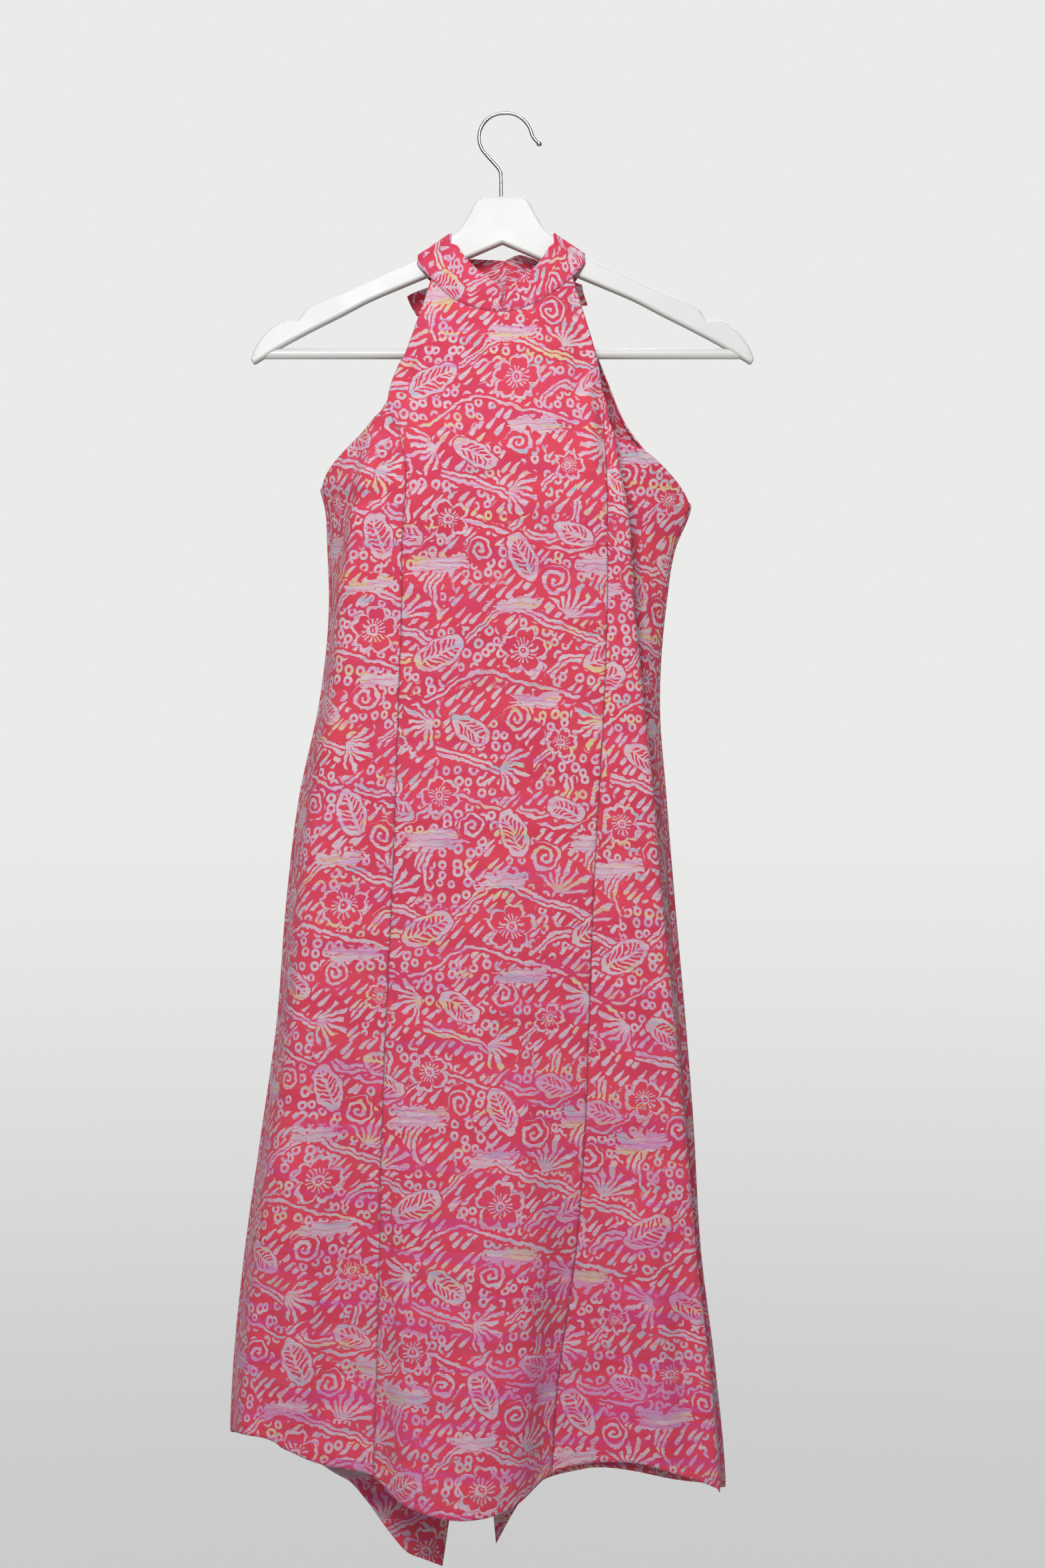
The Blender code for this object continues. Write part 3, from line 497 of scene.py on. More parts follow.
def spot(u, v, at, turn=0.0):
    """Coordinates about a point of the repeat, turned by an angle in degrees."""
    x, y = (u - at[0]).wrap(TILE_U), (v - at[1]).wrap(TILE_V)
    if not turn:
        return x, y
    c, s = float(np.cos(np.radians(turn))), float(np.sin(np.radians(turn)))
    return x * c + y * s, y * c - x * s


def polar(x, y):
    """Distance from the middle, and the angle round it."""
    return (x * x + y * y).op("SQRT"), y.op("ARCTAN2", x)


def flower(u, v, at, size, turn):
    """Five notched petals in outline round a ring, with short stamens between."""
    r, a = polar(*spot(u, v, at, turn))
    lobe = (a * 2.5).op("COSINE").op("ABSOLUTE")
    rim = lobe.op("POWER", 0.55) * (0.46 * size) + 0.54 * size
    rim = rim - lobe.op("POWER", 14.0) * (0.13 * size)
    stamen = (a * 15.0).op("COSINE").ramp(0.05, 0.5)
    stamen = stamen * (r - 0.40 * size).line(0.24 * size)
    ring = (r - 0.19 * size).line(0.12 * size)
    mark = (r - rim).line(2.9).op("MAXIMUM", stamen).op("MAXIMUM", ring)
    return mark.op("MAXIMUM", r.below(0.05 * size)), (r - rim).below(1.9)


def leaf(u, v, at, long, wide, turn, pitch):
    """Outlined leaf with a midrib and slanting ribs."""
    x, y = spot(u, v, at, turn)
    q = ((x * x) / long ** 2 + (y * y) / wide ** 2 - 1.0) * (0.5 * wide)
    inside = q.below(0.0)
    rib = (y.op("ABSOLUTE") * 0.9 - x).wrap(pitch).line(0.42 * pitch)
    mark = rib.op("MAXIMUM", y.line(2.1)) * inside
    return mark.op("MAXIMUM", q.line(2.7)), q.below(2.6)


def fan(u, v, at, long, turn):
    """Open fan of tapering rays."""
    r, a = polar(*spot(u, v, at, turn))
    reach = (a * 8.0).op("COSINE") * 3.0 + long
    near = a.op("ABSOLUTE").below(1.15, 0.08)
    ray = ((a.wrap(0.36) * r).op("ABSOLUTE") - 0.7 - r * 0.055).below(0.0)
    mark = ray * (r - reach).below(0.0)
    return mark * near, (r - long - 4.0).below(0.0) * a.op("ABSOLUTE").below(1.3, 0.08)


def bands(u, v, at, radius, turn, half, lines):
    """Arcs of parallel lines about a centre."""
    r, a = polar(*spot(u, v, at, turn))
    near = a.op("ABSOLUTE").below(half, 0.05)
    mid = radius + 2.1 * (lines - 1)
    mark = (r - radius).wrap(4.2).line(2.7)
    across = (r - mid).op("ABSOLUTE")
    return mark * across.below(2.1 * lines) * near, across.below(2.1 * lines + 2.2) * near


def curl(u, v, at, size, turn, pitch):
    """Spiral of a few turns."""
    r, a = polar(*spot(u, v, at, turn))
    mark = (r - a * (pitch / (2 * np.pi))).wrap(pitch).line(2.7)
    return mark * r.below(size), r.below(size + 2.0)


def vine(u, v, height, swing, shift, lines):
    """Wavy stem of parallel lines running right across the repeat."""
    wave = (u * (2 * np.pi / TILE_U) + shift).op("SINE") * swing
    wave = wave + (u * (4 * np.pi / TILE_U) + 2.0 * shift).op("SINE") * (0.3 * swing)
    off = (v - height - wave).wrap(TILE_V)
    near = off.op("ABSOLUTE").below(2.2 * lines)
    mark = (off + 2.2 * (lines - 1)).wrap(4.4).line(2.8)
    return mark * near, off.op("ABSOLUTE").below(2.2 * lines + 1.8)


def brushed(u, v, at, wide, high, rough):
    """Wide patch of wax with a ragged edge and a few thin bare strokes."""
    x, y = spot(u, v, at, 3.0)
    lobes = (x * 0.42).op("SINE").op("ABSOLUTE") * 2.6
    ends = (y * 1.15).op("SINE") * 2.4 + (y * 2.3).op("SINE") * 1.8
    edge = (x.op("ABSOLUTE") + ends - rough * 16.0).below(wide - 2.0, 1.4)
    edge = edge * (y.op("ABSOLUTE") - rough * 13.0 - lobes).below(high - 3.4)
    return edge.hide(y.wrap(5.3).line(0.5) * 0.8), edge


FLOWERS = (((24, 38), 21.0, 12.0), ((104, 150), 17.0, 40.0), ((60, 196), 13.0, 5.0))
LEAVES = (((98, 36), 21.0, 11.0, 28.0, 5.2), ((22, 118), 19.0, 10.0, 115.0, 5.0),
          ((128, 206), 17.0, 9.0, -32.0, 4.8), ((66, 138), 15.0, 8.0, 160.0, 4.6))
FANS = (((62, 66), 29.0, 70.0), ((96, 214), 25.0, 200.0), ((8, 176), 24.0, -20.0))
BANDS = (((118, 86), 25.0, 150.0, 1.15, 3), ((42, 160), 24.0, -60.0, 1.25, 2),
         ((70, 8), 22.0, 96.0, 1.1, 2), ((140, 170), 26.0, -12.0, 0.8, 3))
CURLS = (((50, 98), 13.0, 20.0, 6.2), ((132, 124), 11.0, 200.0, 6.0), ((20, 216), 12.0, 90.0, 6.0))
PATCHES = (((96, 112), 24.0, 9.5), ((16, 78), 20.0, 7.5), ((36, 232), 22.0, 8.0))
VINES = ((58, 15.0, 0.6, 2), (136, 12.0, 2.4, 1), (184, 13.0, 4.4, 2), (8, 11.0, 1.5, 1))


def filler(tree, u, v):
    """Beads with open centres in some places and slanting drops in others."""
    def cells(x, y, cell, loose):
        """Loose cells so many mm wide: a chance number for each and the place inside it."""
        at = add(tree, "ShaderNodeCombineXYZ", (x / cell).s, (y / cell).s)
        node = tree.nodes.new("ShaderNodeTexVoronoi")
        node.voronoi_dimensions = "2D"
        tree.links.new(at, node.inputs["Vector"])
        node.inputs["Scale"].default_value = 1.0
        node.inputs["Randomness"].default_value = loose
        hue = add(tree, "ShaderNodeSeparateXYZ", node.outputs["Color"])
        off = add(tree, "ShaderNodeVectorMath", at, node.outputs["Position"], operation="SUBTRACT")
        parts = tree.nodes.new("ShaderNodeSeparateXYZ")
        tree.links.new(off, parts.inputs[0])
        return Val(tree, hue), Val(tree, parts.outputs[0]), Val(tree, parts.outputs[1])

    chance, x, y = cells(u, v, 9.8, 0.60)
    r = (x * x + y * y * 0.8).op("SQRT")
    beads = (r - chance * 0.10).below(0.335, 0.05).hide((r - chance * 0.05).below(0.13, 0.05))
    c, s = float(np.cos(0.82)), float(np.sin(0.82))
    along, across = u * c + v * s, v * c - u * s
    chance, x, y = cells(along / 2.3, across, 7.2, 0.62)
    y = y * (x * 2.6 + 1.9)
    drops = ((x * x + y * y).op("SQRT") - chance * 0.09).below(0.375, 0.05)
    at = add(tree, "ShaderNodeCombineXYZ", (u / 46.0).s, (v / 46.0).s)
    place = Val(tree, add(tree, "ShaderNodeTexNoise", at, None, 1.0, 1.0, noise_dimensions="2D"))
    pick = place.below(0.505, 0.03)
    return beads * pick + drops.hide(pick)


def printed_cotton():
    """Wax-resist printed cotton: pale motifs and brushed streaks on a coral-crimson ground."""
    mat = bpy.data.materials.new("printed cotton")
    mat.use_nodes = True
    tree = mat.node_tree
    shader = tree.nodes["Principled BSDF"]
    uv = add(tree, "ShaderNodeUVMap", uv_map="cloth")
    mm = add(tree, "ShaderNodeVectorMath", uv, (1000.0, 1000.0, 1000.0), operation="MULTIPLY")
    shaky = tree.nodes.new("ShaderNodeTexNoise")
    shaky.noise_dimensions = "2D"
    tree.links.new(mm, shaky.inputs["Vector"])
    shaky.inputs["Scale"].default_value = 1.0 / 11.0
    shaky.inputs["Detail"].default_value = 2.5
    push = add(tree, "ShaderNodeVectorMath", shaky.outputs["Color"], (0.5, 0.5, 0.5),
               operation="SUBTRACT")
    push = add(tree, "ShaderNodeVectorMath", push, (7.5, 7.5, 0.0), operation="MULTIPLY")
    drawn = add(tree, "ShaderNodeVectorMath", mm, push, operation="ADD")
    parts = tree.nodes.new("ShaderNodeSeparateXYZ")
    tree.links.new(drawn, parts.inputs[0])
    u, v = Val(tree, parts.outputs[0]), Val(tree, parts.outputs[1])
    rough = Val(tree, shaky.outputs[0]) - 0.5

    steady = add(tree, "ShaderNodeVectorMath", push, (0.36, 0.36, 0.0), operation="MULTIPLY")
    steady = add(tree, "ShaderNodeVectorMath", mm, steady, operation="ADD")
    calm = tree.nodes.new("ShaderNodeSeparateXYZ")
    tree.links.new(steady, calm.inputs[0])
    pale = filler(tree, Val(tree, calm.outputs[0]), Val(tree, calm.outputs[1]))
    for height, swing, shift, lines in VINES:
        pale = pale.over(*vine(u, v, height, swing, shift, lines))
    for at, radius, turn, half, lines in BANDS:
        pale = pale.over(*bands(u, v, at, radius, turn, half, lines))
    for at, long, turn in FANS:
        pale = pale.over(*fan(u, v, at, long, turn))
    for at, long, wide, turn, pitch in LEAVES:
        pale = pale.over(*leaf(u, v, at, long, wide, turn, pitch))
    for at, size, turn, pitch in CURLS:
        pale = pale.over(*curl(u, v, at, size, turn, pitch))
    for at, wide, high in PATCHES:
        pale = pale.over(*brushed(u, v, at, wide, high, rough))
    for at, size, turn in FLOWERS:
        pale = pale.over(*flower(u, v, at, size, turn))

    raw = tree.nodes.new("ShaderNodeSeparateXYZ")
    tree.links.new(mm, raw.inputs[0])
    flat_u, flat_v = Val(tree, raw.outputs[0]), Val(tree, raw.outputs[1])

    def streak(across, up, shift, detail=2.0):
        """Long soft streaks: noise so many mm across and so many up, with a slight slant."""
        at = add(tree, "ShaderNodeCombineXYZ", (flat_u / across + shift).s,
                 ((flat_v + flat_u * 0.06) / up + shift).s)
        return Val(tree, add(tree, "ShaderNodeTexNoise", at, None, 1.0, detail,
                             noise_dimensions="2D"))

    fine, broad = streak(64.0, 2.6, 3.0, 3.0), streak(120.0, 26.0, 9.0)
    wash = tree.nodes.new("ShaderNodeValToRGB")
    stops = ((0.0, "#b9a9cf"), (0.36, "#d3bccb"), (0.50, "#dccbcf"), (0.60, "#d9b3d0"),
             (0.68, "#cf9ccb"), (1.0, "#cba3cf"))
    for _ in range(len(stops) - 2):
        wash.color_ramp.elements.new(0.5)
    for stop, (place, code) in zip(wash.color_ramp.elements, stops):
        stop.position = place
        stop.color = linear(code)
    tree.links.new(fine.s, wash.inputs[0])
    wax = wash.outputs[0]
    yellow = (streak(60.0, 13.0, 21.0) * 0.75 + streak(34.0, 3.0, 40.0) * 0.25)
    yellow = yellow.ramp(0.565, 0.65)
    teal = (streak(52.0, 11.0, 57.0) * 0.75 + streak(30.0, 2.8, 71.0) * 0.25)
    teal = teal.ramp(0.58, 0.67)
    wax = blend(tree, (yellow * 0.75).s, wax, linear("#dccb84"))
    wax = blend(tree, (teal * 0.7).s, wax, linear("#9dbccd"))
    low = flat_v.ramp(-420.0, -1180.0)
    wax = blend(tree, (low * 0.30).s, wax, linear("#b98aa6"))
    ground = blend(tree, broad.ramp(0.33, 0.67).s,
                   linear("#df485d"), linear("#d43f59"))
    brushed_on = streak(150.0, 15.0, 131.0, 3.0)
    magenta = brushed_on.ramp(0.51, 0.60) * (low * 0.70 + 0.30)
    wax = blend(tree, (magenta * 0.62).s, wax, linear("#c878b6"))
    ground = blend(tree, (magenta * fine.ramp(0.30, 0.60) * 0.62).s, ground, linear("#cb4a90"))
    dusk = brushed_on.ramp(0.48, 0.38) * low
    wax = blend(tree, (dusk * 0.45).s, wax, linear("#a9a3bd"))
    ground = blend(tree, (dusk * fine.ramp(0.34, 0.62) * 0.30).s, ground, linear("#b05a7c"))
    # The dye crept a little under the wax, so the pale lines are tinted and of uneven strength.
    crept = streak(9.0, 7.0, 88.0, 3.0).ramp(0.22, 0.52)
    colour = blend(tree, (pale * (crept * 0.26 + 0.68)).s, ground, wax)

    # Sewn line a little inside each turned edge, and painted shade: a dark line along each seam standing
    # in for the shadow in its groove.
    edge = Val(tree, add(tree, "ShaderNodeAttribute", attribute_name="edge", out=2))
    run = Val(tree, add(tree, "ShaderNodeAttribute", attribute_name="run", out=2))
    seam = Val(tree, add(tree, "ShaderNodeAttribute", attribute_name="seam", out=2))
    sewn = (edge - 7.0).line(0.9, 0.5) * run.wrap(2.6).line(1.9, 0.3)
    # Painted shade: within a millimetre or so of a seam the colour is darkened to deep red, as if in
    # shadow.
    colour = blend(tree, (seam.line(1.2, 0.8) * 0.5).s, colour, linear("#8e2c3f"))
    colour = blend(tree, (sewn * 0.5).s, colour, linear("#b6314a"))
    tree.links.new(colour, shader.inputs["Base Color"])

    weave = (flat_u * (2 * np.pi / 0.55)).op("SINE") * (flat_v * (2 * np.pi / 0.62)).op("SINE")
    crumple = streak(21.0, 27.0, 5.0, 3.0)
    dip = (edge - 7.0).line(2.6, 1.8)
    height = weave * 0.035 + crumple * 1.7 - dip * 0.22 + pale * 0.02
    bump = tree.nodes.new("ShaderNodeBump")
    bump.inputs["Strength"].default_value = 0.6
    bump.inputs["Distance"].default_value = 0.001
    tree.links.new(height.s, bump.inputs["Height"])
    tree.links.new(bump.outputs[0], shader.inputs["Normal"])
    tree.links.new((pale * -0.06 + 0.88).s, shader.inputs["Roughness"])
    shader.inputs["Specular IOR Level"].default_value = 0.22
    shader.inputs["Sheen Weight"].default_value = 0.12
    shader.inputs["Sheen Roughness"].default_value = 0.5
    return mat


def painted_beech():
    """White satin paint on beech: faint grain along the board and a little unevenness."""
    mat = bpy.data.materials.new("painted beech")
    mat.use_nodes = True
    tree = mat.node_tree
    shader = tree.nodes["Principled BSDF"]
    place = add(tree, "ShaderNodeTexCoord", out=3)
    grain = add(tree, "ShaderNodeMapping", place, (0.0, 0.0, 0.0), (0.0, 0.0, 0.0),
                (30.0, 900.0, 900.0))
    lines = Val(tree, add(tree, "ShaderNodeTexNoise", grain, None, 1.0, 3.0))
    cloud = Val(tree, add(tree, "ShaderNodeTexNoise", place, None, 22.0, 2.0))
    tree.links.new(blend(tree, cloud.s, linear("#e2e3e1"), linear("#dbdcda")),
                   shader.inputs["Base Color"])
    tree.links.new((cloud * 0.2 + 0.32).s, shader.inputs["Roughness"])
    bump = tree.nodes.new("ShaderNodeBump")
    bump.inputs["Strength"].default_value = 0.25
    bump.inputs["Distance"].default_value = 0.0002
    tree.links.new(lines.s, bump.inputs["Height"])
    tree.links.new(bump.outputs[0], shader.inputs["Normal"])
    return mat


def chromed_steel():
    """Chromed wire with faint drawing marks along it."""
    mat = bpy.data.materials.new("chromed steel")
    mat.use_nodes = True
    tree = mat.node_tree
    shader = tree.nodes["Principled BSDF"]
    place = add(tree, "ShaderNodeTexCoord", out=3)
    marks = Val(tree, add(tree, "ShaderNodeTexNoise", place, None, 260.0, 1.0))
    tree.links.new(blend(tree, marks.s, linear("#a9aeaa"), linear("#b5b9b6")),
                   shader.inputs["Base Color"])
    tree.links.new((marks * 0.06 + 0.26).s, shader.inputs["Roughness"])
    shader.inputs["Metallic"].default_value = 1.0
    return mat


# Pieces of cloth.
def nearest(points, line):
    """Distance from each point of a grid to an edge line, and the length along that line."""
    run = np.concatenate(((0,), np.cumsum(np.linalg.norm(np.diff(line, axis=0), axis=1))))
    at = np.linspace(0, run[-1], max(int(run[-1] / 1.5), 8))
    dense = np.stack([np.interp(at, run, line[:, k]) for k in range(3)], -1)
    flat = points.reshape(-1, 3)
    best, where = np.full(len(flat), 1e9), np.zeros(len(flat))
    for k in range(0, len(flat), 4000):
        gap = np.linalg.norm(flat[k:k + 4000, None] - dense[None], axis=-1)
        best[k:k + 4000] = gap.min(1)
        where[k:k + 4000] = at[gap.argmin(1)]
    return best.reshape(points.shape[:2]), where.reshape(points.shape[:2])


def panel(name, points, front, seams, edges, sides, shift, mat, node, top_fade, table, seed):
    """Dress panel: each point of the form moved along its normal by the sum of the creases, which
    fade out towards the free sides, the puckers beside the seams and a low wave along the hems."""
    n = normals(points)
    if n[..., 1].mean() * (-1 if front else 1) < 0:
        n = -n
    across, up = run_across(points), run_up(points)
    width = across[-1:]
    high = up[:, -1:] - up
    fade = np.clip(high / 26.0, 0, 1) ** 2 if top_fade else 1.0
    for end in sides:
        gap = across if end == 0 else width - across
        fade = fade * np.clip(gap / 28.0, 0, 1)
    out = 2.4 * creases(points, table) * fade
    # Distance to the sewn ends, which the material turns into a painted shade line.
    seam = np.full(points.shape[:2], 99.0)
    for end in seams:
        gap = across if end == 0 else width - across
        out = out + pucker(gap, up, seed + end)
        seam = np.minimum(seam, gap)
    edge, run = np.full(points.shape[:2], 99.0), np.zeros(points.shape[:2])
    for line in edges:
        gap, where = nearest(points, line(points))
        run = np.where(gap < edge, where, run)
        edge = np.minimum(edge, gap)
    out = out + 0.35 * np.exp(-(edge / 5.0) ** 2) * np.sin(run / 9.0 + seed)
    shaped = inwards(points + n * out[..., None], seams)
    flat = np.hypot(*(np.diff(points[..., :2], axis=0)).transpose(2, 0, 1))
    u = np.concatenate((np.zeros((1, points.shape[1])), np.cumsum(flat, 0)))
    u = u - u[u.shape[0] // 2]
    u = u * np.sign((points[-1, 0, 0] - points[0, 0, 0]) * (1 if front else -1))
    uv = np.stack((u + shift[0], points[..., 2] + shift[1]), -1)
    return sheet_piece(name, shaped, uv, {"edge": edge, "run": run, "seam": seam}, mat, CLOTH,
                       node)


def top(points):
    """Upper edge of a grid."""
    return points[:, -1]


def foot(points):
    """Lower edge of a grid."""
    return points[:, 0]


def strip(name, points, shift, mat, node, wall=BAND, flip=1.0, sewn=False):
    """Band or tie cut as one strip, printed along its length; sewn marks its first sides, where the
    material paints a seam's shade line.
    """
    across, up = run_across(points), run_up(points)
    uv = np.stack((flip * across + shift[0], up + shift[1]), -1)
    width = up[:, -1:]
    edge = np.minimum(up, width - up)
    # Distance to the sewn sides, which the material turns into a painted shade line.
    seam = np.minimum(0.7 * up, 0.6 * across) if sewn else np.full(edge.shape, 99.0)
    marks = {"edge": edge + 4.6, "run": across, "seam": seam}
    return sheet_piece(name, points, uv, marks, mat, wall, node)


def ribbon(path, half, across, count=14):
    """Flat band: the path, plus its half width times the way across, from one side to the other."""
    side = across / np.linalg.norm(across, axis=-1, keepdims=True) * half[:, None]
    return path[:, None] + side[:, None] * np.linspace(-1, 1, count)[None, :, None]


def loop_grid(left):
    """One side of the bow: a band along a closed path, out along the front, round the end and back.
    It leans most at its end, by the sine of the way along, and small waves gather it at the knot."""
    side = 0 if left else 1
    at = np.linspace(0, 8, 170)
    row = smooth(at, np.arange(9), LOOP)
    lean = (-0.5 if left else -0.28) * np.sin(np.pi * at / 8)
    points = ribbon(row[:, (side, 2, 3 + side)], row[:, 5],
                    np.stack((lean, 0 * at, 1 + 0 * at), -1))
    s, t = np.linspace(0, 1, 170)[:, None], np.linspace(-1, 1, 14)[None, :]
    near = np.clip(1.0 - np.sin(np.pi * s) * 1.3, 0, 1)
    wave = 0.7 * np.sin(7.0 * t + 1.0) * near + 0.35 * np.sin(2.6 * t + 9.0 * s)
    return points + normals(points) * wave[..., None]


def tail_grid(left):
    """Free end of a tie: a band down a curve, less a bell-shaped trough along its middle that
    fades downwards, plus a slow wave along its length."""
    side = 0 if left else 1
    row = smooth(np.linspace(0, 4, 90), np.arange(5), TAIL)
    points = ribbon(row[:, (2 + side, 4 + side, side)], row[:, 6],
                    np.tile((1.0, 0.15, 0.12 if left else -0.1), (90, 1)))
    s, t = np.linspace(0, 1, 90)[:, None], np.linspace(-1, 1, 14)[None, :]
    wave = -0.9 * np.exp(-(t * 2.2) ** 2) * (1 - s) + 0.5 * np.sin(7.0 * s + 1.4 * t)
    return points + normals(points) * wave[..., None]


def knot_grid():
    """Knot: rounded squares about the x axis, whose radius is drawn in towards both sides and
    rippled by low sine pleats."""
    turn, s = np.linspace(0.5 * np.pi, 2.5 * np.pi, 110)[:, None], np.linspace(-1, 1, 34)[None, :]
    draw = 0.30 + 0.70 * np.sqrt(np.clip(1.0 - np.abs(s) ** 2.6, 0, 1))
    pleat = 1.0 + 0.035 * np.sin(9.0 * s + 1.2 * np.sin(turn)) + 0.02 * np.sin(3.0 * turn + 4.0 * s)
    soft = (np.abs(np.cos(turn)) ** 2.6 + np.abs(np.sin(turn)) ** 2.6) ** (-1 / 2.6)
    r = draw * pleat * soft
    x = np.broadcast_to(8.2 * s, r.shape)
    return np.stack((x, 34.0 + 7.4 * r * np.sin(turn), -138.0 + 10.0 * r * np.cos(turn)), -1)


# The hanger.
def eased(at, xs, ys):
    """Curve through points that never overshoots them: slopes are harmonic means."""
    step, rise = np.diff(xs), np.diff(ys)
    secant = rise / step
    both = secant[:-1] * secant[1:]
    inner = np.where(both > 0, 2 * both / np.where(both > 0, secant[:-1] + secant[1:], 1.0), 0.0)
    slope = np.concatenate(((secant[0],), inner, (secant[-1],)))
    i = np.clip(np.searchsorted(xs, at, side="right") - 1, 0, len(xs) - 2)
    h = step[i]
    t = (at - xs[i]) / h
    return ((1 + 2 * t) * (1 - t) ** 2 * ys[i] + t * (1 - t) ** 2 * h * slope[i]
            + t * t * (3 - 2 * t) * ys[i + 1] + t * t * (t - 1) * h * slope[i + 1])


def in_order(rim, count):
    """A rim whose two edges never double back in x where a sharp corner is drawn in."""
    rim = rim.copy()
    for edge in (np.arange(count), np.concatenate(((0,), np.arange(len(rim) - 1, count - 2, -1)))):
        x = rim[edge, 0]
        right, left = x > 0, x < 0
        x[right] = np.minimum.accumulate(x[right][::-1])[::-1]
        x[left] = np.maximum.accumulate(x[left])
        rim[edge, 0] = x
    return rim


def board(mat, half=6.0, r=2.6, steps=7):
    """Flat board of the hanger: its upper and lower edges as heights over x, joined by upright
    strips on both faces, and a rim whose offsets follow a quarter circle at each face."""
    corner = ((17.0, -72.5), (20.0, -73.1), (22.0, -74.9), (24.2, -78.0))
    high = np.concatenate((HANGER[:1], corner, HANGER[3:19]))
    low = np.delete(HANGER[18:], -2, 0)[::-1]
    x = np.unique(np.concatenate((np.linspace(0, 220.6, 190), high[:, 0],
                                  220.6 - np.geomspace(0.02, 3.0, 10))))
    x = np.concatenate((-x[::-1], x[1:]))
    up, down = eased(np.abs(x), high[:, 0], high[:, 1]), eased(np.abs(x), low[:, 0], low[:, 1])
    count = len(x)
    ring = np.concatenate((np.stack((x, up), 1), np.stack((x, down), 1)[-2:0:-1]))
    chord = np.concatenate((up - down, (up - down)[-2:0:-1]))
    before, after = ring - np.roll(ring, 1, 0), np.roll(ring, -1, 0) - ring
    before /= np.linalg.norm(before, axis=1, keepdims=True)
    after /= np.linalg.norm(after, axis=1, keepdims=True)
    way = before + after
    way = np.stack((way[:, 1], -way[:, 0]), 1)
    way /= np.linalg.norm(way, axis=1, keepdims=True)
    room = np.clip(0.36 * chord + 1.0, 0, r)[:, None] / r
    angle = np.linspace(0.5 * np.pi, 0, steps)
    rims = [(-half + r - r * np.sin(a), r - r * np.cos(a)) for a in angle]
    rims += [(-y, by) for y, by in rims[::-1]]
    rims = [(y, in_order(ring + way * by * room, count)) for y, by in rims]
    verts = np.concatenate([np.stack((rim[:, 0] + HANGER_MIDDLE, np.full(len(rim), y), rim[:, 1]),
                                     1) for y, rim in rims])
    n, last = len(ring), (len(rims) - 1) * len(ring)
    faces = [(k * n + i, k * n + (i + 1) % n, (k + 1) * n + (i + 1) % n, (k + 1) * n + i)
             for k in range(len(rims) - 1) for i in range(n)]
    sides = len(faces)
    for i in range(count - 1):
        a, b = (n - i) % n, n - i - 1
        if i == count - 2:
            b = count - 1
        cap = [i, i + 1] + ([b] if b != i + 1 else []) + ([a] if a != i else [])
        faces += [tuple(cap[::-1]), tuple(last + c for c in cap)]
    obj = finish_mesh("hanger_board", verts, faces, mat)
    round_only = np.arange(len(obj.data.polygons)) < sides
    obj.data.polygons.foreach_set("use_smooth", round_only)
    return obj


def tube(name, path, radius, mat, sides=28):
    """Round wire or rod: at each point of a path in the XZ plane, a circle square to the path,
    with its ends closed."""
    along = np.gradient(path, axis=0)
    along /= np.linalg.norm(along, axis=1, keepdims=True)
    angle = np.linspace(0, 2 * np.pi, sides, endpoint=False)
    side = np.stack((along[:, 1], -along[:, 0]), 1)
    x = path[:, None, 0] + radius[:, None] * np.cos(angle) * side[:, None, 0]
    z = path[:, None, 1] + radius[:, None] * np.cos(angle) * side[:, None, 1]
    y = radius[:, None] * np.sin(angle) * np.ones_like(x)
    n = len(path)
    faces = [(k * sides + i, k * sides + (i + 1) % sides, (k + 1) * sides + (i + 1) % sides,
              (k + 1) * sides + i) for k in range(n - 1) for i in range(sides)]
    faces += [tuple(range(sides))[::-1], tuple((n - 1) * sides + i for i in range(sides))]
    return finish_mesh(name, np.stack((x, y, z), -1).reshape(-1, 3), faces, mat)


def hook_path():
    """Centre line of the hook: a straight stem, a bend, an arc of one radius over the top, an arc
    whose radius grows with the angle, and a swelling round the free tip."""
    cx, cz, big = -2.3, -19.46, 21.2
    stem = [(-4.1, -94.0), (-4.1, -72.0), (-4.2, -56.0), (-4.6, -50.5), (-6.6, -46.6),
            (-10.5, -42.0), (-15.2, -36.8)]
    turn = np.radians(np.linspace(212, 90, 14))
    crown = [(cx + big * np.cos(a), cz + big * np.sin(a)) for a in turn]
    turn = np.linspace(90, 6, 10)[1:]
    reach = big + 4.2 * (90 - turn) / 84
    fall = list(zip(cx + reach * np.cos(np.radians(turn)), cz + reach * np.sin(np.radians(turn))))
    tip = [(25.0, -20.4), (27.6, -23.2), (28.4, -24.0), (29.6, -25.2), (30.6, -26.2),
           (31.0, -26.6)]
    path = np.array(stem + crown + fall + tip)
    radius = np.array([1.6] * (len(stem) + 14 + 9 + 2) + [2.2, 2.4, 1.7, 0.8])
    at = np.linspace(0, len(path) - 1, 260)
    return smooth(at, np.arange(len(path)), path), np.interp(at, np.arange(len(path)), radius)


# The pieces, each in place of its node.
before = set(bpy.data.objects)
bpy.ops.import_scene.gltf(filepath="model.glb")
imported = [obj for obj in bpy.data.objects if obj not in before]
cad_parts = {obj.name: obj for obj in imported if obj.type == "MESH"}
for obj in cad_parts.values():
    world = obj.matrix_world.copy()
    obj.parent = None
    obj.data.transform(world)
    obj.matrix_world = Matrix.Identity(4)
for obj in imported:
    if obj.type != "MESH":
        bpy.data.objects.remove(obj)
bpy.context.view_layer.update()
bpy.context.scene.view_settings.view_transform = "Standard"

cotton, beech, chrome = printed_cotton(), painted_beech(), chromed_steel()
centre = centre_grid(70, 34)
flank_l, flank_r = front_grid(0, 3, 48, ARMHOLE_LEFT), front_grid(7, 12, 92, ARMHOLE_RIGHT)
rear_l, rear_r = back_grid(True, 62, 70), back_grid(False, 62, 70)

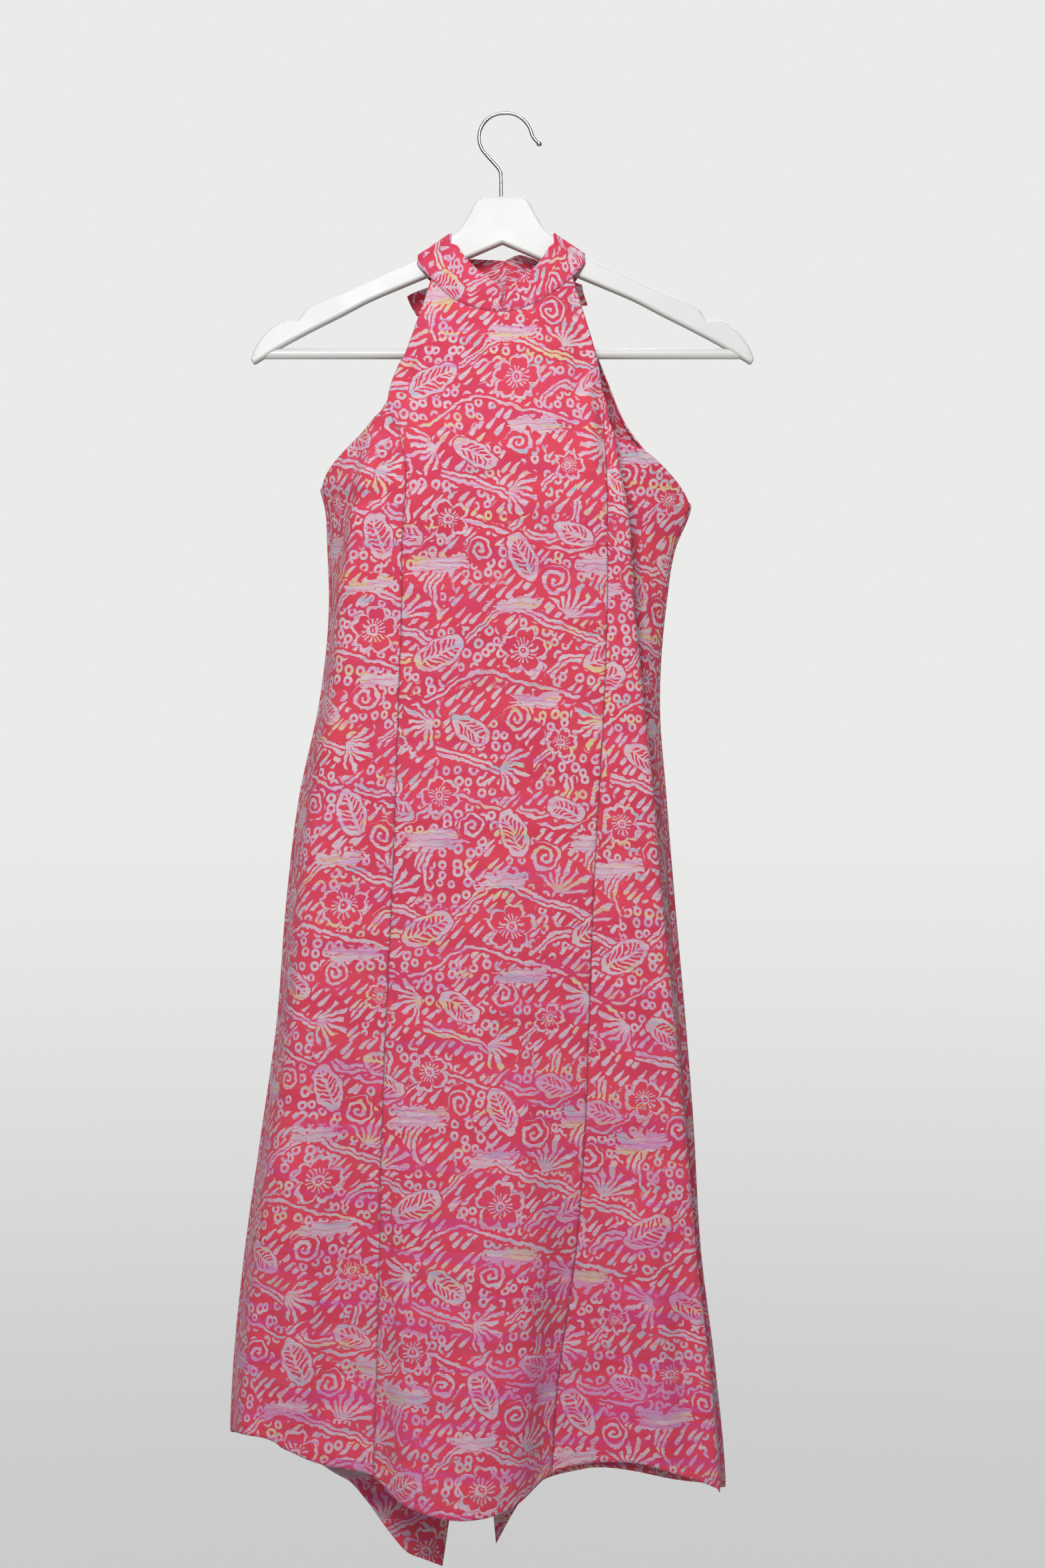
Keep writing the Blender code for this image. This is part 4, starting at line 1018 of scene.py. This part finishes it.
panel("centre_front", centre, True, (0, -1), (foot,), (), (8, 40), cotton,
      "front_centre", True, CREASES_FRONT, 1.0)
panel("side_front_right", flank_l, True, (-1,), (foot, top),
      (0,), (-140, 22), cotton, "front_side_wearers_right", False, CREASES_FRONT, 2.0)
panel("side_front_left", flank_r, True, (0,), (foot, top), (-1,), (131, 64), cotton,
      "front_side_wearers_left", False, CREASES_FRONT, 3.0)
panel("back_right", rear_l, False, (-1,), (foot,), (0,), (-52, 131), cotton,
      "back_wearers_right", True, CREASES_BACK, 4.0)
panel("back_left", rear_r, False, (-1,), (foot,), (0,), (63, 58), cotton,
      "back_wearers_left", True, CREASES_BACK, 5.0)
for left, rear, node, shift in ((True, rear_l, "collar_wearers_right", (10, 33)),
                                (False, rear_r, "collar_wearers_left", (80, 120))):
    band = collar_grid(left, centre, rear)
    n = normals(band)
    share, rise = (np.linspace(0, 1, band.shape[0])[:, None], np.linspace(0, 1, 14)[None, :])
    gather = np.clip((share - 0.62) / 0.38, 0, 1) ** 1.6 * np.sin(np.pi * rise)
    way = -1.0 if left else 1.0
    band[..., 0] += way * (0.14 + 0.5 * rise) * np.exp(-share / 0.03)
    band = band + n * (0.45 * gather * np.sin(15.0 * rise + 6.0 * share))[..., None]
    strip(node.replace("_wearers", "_band"), band, shift, cotton, node,
          flip=way, sewn=True)
for left, node in ((True, "wearers_right"), (False, "wearers_left")):
    strip("bow_" + node, loop_grid(left), (20 if left else 90, 60), cotton,
          "tie_loop_" + node)
    strip("tie_end_" + node, tail_grid(left), (5 if left else 60, 150), cotton,
          "tie_tail_" + node)
strip("bow_knot", knot_grid(), (40, 20), cotton, "tie_knot",
      wall=0.8)

wood = board(beech)
rod = tube("hanger_rod", np.stack((np.linspace(-214.0, 208.0, 60), np.full(60, -209.8)), 1),
           np.full(60, 4.6), beech)
hook = tube("hanger_wire", *hook_path(), chrome)
for obj, node, slot in ((wood, "hanger_body", "painted_wood"), (rod, "hanger_bar", "painted_wood"),
                        (hook, "hanger_hook", "chromed_steel")):
    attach(obj, "root")
    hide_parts(node)

# Plain pale floor, soft light from large panels, and an even pale surround.
angle = np.linspace(0, 2 * np.pi, 96, endpoint=False)
floor_mat = bpy.data.materials.new("pale floor")
floor_mat.use_nodes = True
floor_mat.node_tree.nodes["Principled BSDF"].inputs["Base Color"].default_value = linear("#e8e9e7")
floor_mat.node_tree.nodes["Principled BSDF"].inputs["Roughness"].default_value = 0.9
floor = finish_mesh("floor", np.stack((2600 * np.cos(angle), 2600 * np.sin(angle),
                                       np.full(96, -2200.0)), 1), [tuple(range(96))], floor_mat)

world = bpy.data.worlds.new("pale surround")
bpy.context.scene.world = world
world.use_nodes = True
tree = world.node_tree
facing = add(tree, "ShaderNodeSeparateXYZ", add(tree, "ShaderNodeTexCoord"), out=2)
rise = Val(tree, facing).ramp(-0.33, 0.02)
shade = blend(tree, rise.s, linear("#cacbca"), linear("#ebebea"))
tree.links.new(shade, tree.nodes["Background"].inputs[0])
seen = Val(tree, add(tree, "ShaderNodeLightPath"))
tree.links.new((seen * 0.76 + 0.24).s, tree.nodes["Background"].inputs[1])


def lamp(name, place, aim, size, watts):
    """Large soft panel light at a place, facing a point."""
    data = bpy.data.lights.new(name, "AREA")
    data.shape = "RECTANGLE"
    data.size, data.size_y = size
    data.energy = watts
    obj = bpy.data.objects.new(name, data)
    obj.location = place
    obj.visible_camera = False
    way = np.array(aim) - np.array(place)
    obj.rotation_euler = (float(np.arctan2(np.hypot(way[0], way[1]), -way[2])), 0.0,
                          float(np.arctan2(way[1], way[0]) - 0.5 * np.pi))
    bpy.context.scene.collection.objects.link(obj)


lamp("key", (-0.35, -2.3, 0.66), (0.0, 0.0, -0.48), (0.7, 0.7), 52.0)
lamp("rear", (0.7, 2.3, 1.0), (0.0, 0.0, -0.5), (1.2, 1.2), 34.0)
lamp("overhead", (0.0, 0.3, 2.4), (0.0, 0.0, 0.0), (2.6, 2.6), 30.0)

camera = bpy.data.objects.new("camera", bpy.data.cameras.new("camera"))
camera.location = (0.01465, -2.0, -0.5878)
camera.rotation_euler = (0.5 * np.pi, 0.0, 0.0)
camera.data.sensor_fit = "VERTICAL"
camera.data.sensor_height = 36.0
camera.data.lens = 52.24
bpy.context.scene.collection.objects.link(camera)
bpy.context.scene.camera = camera

bpy.context.view_layer.update()
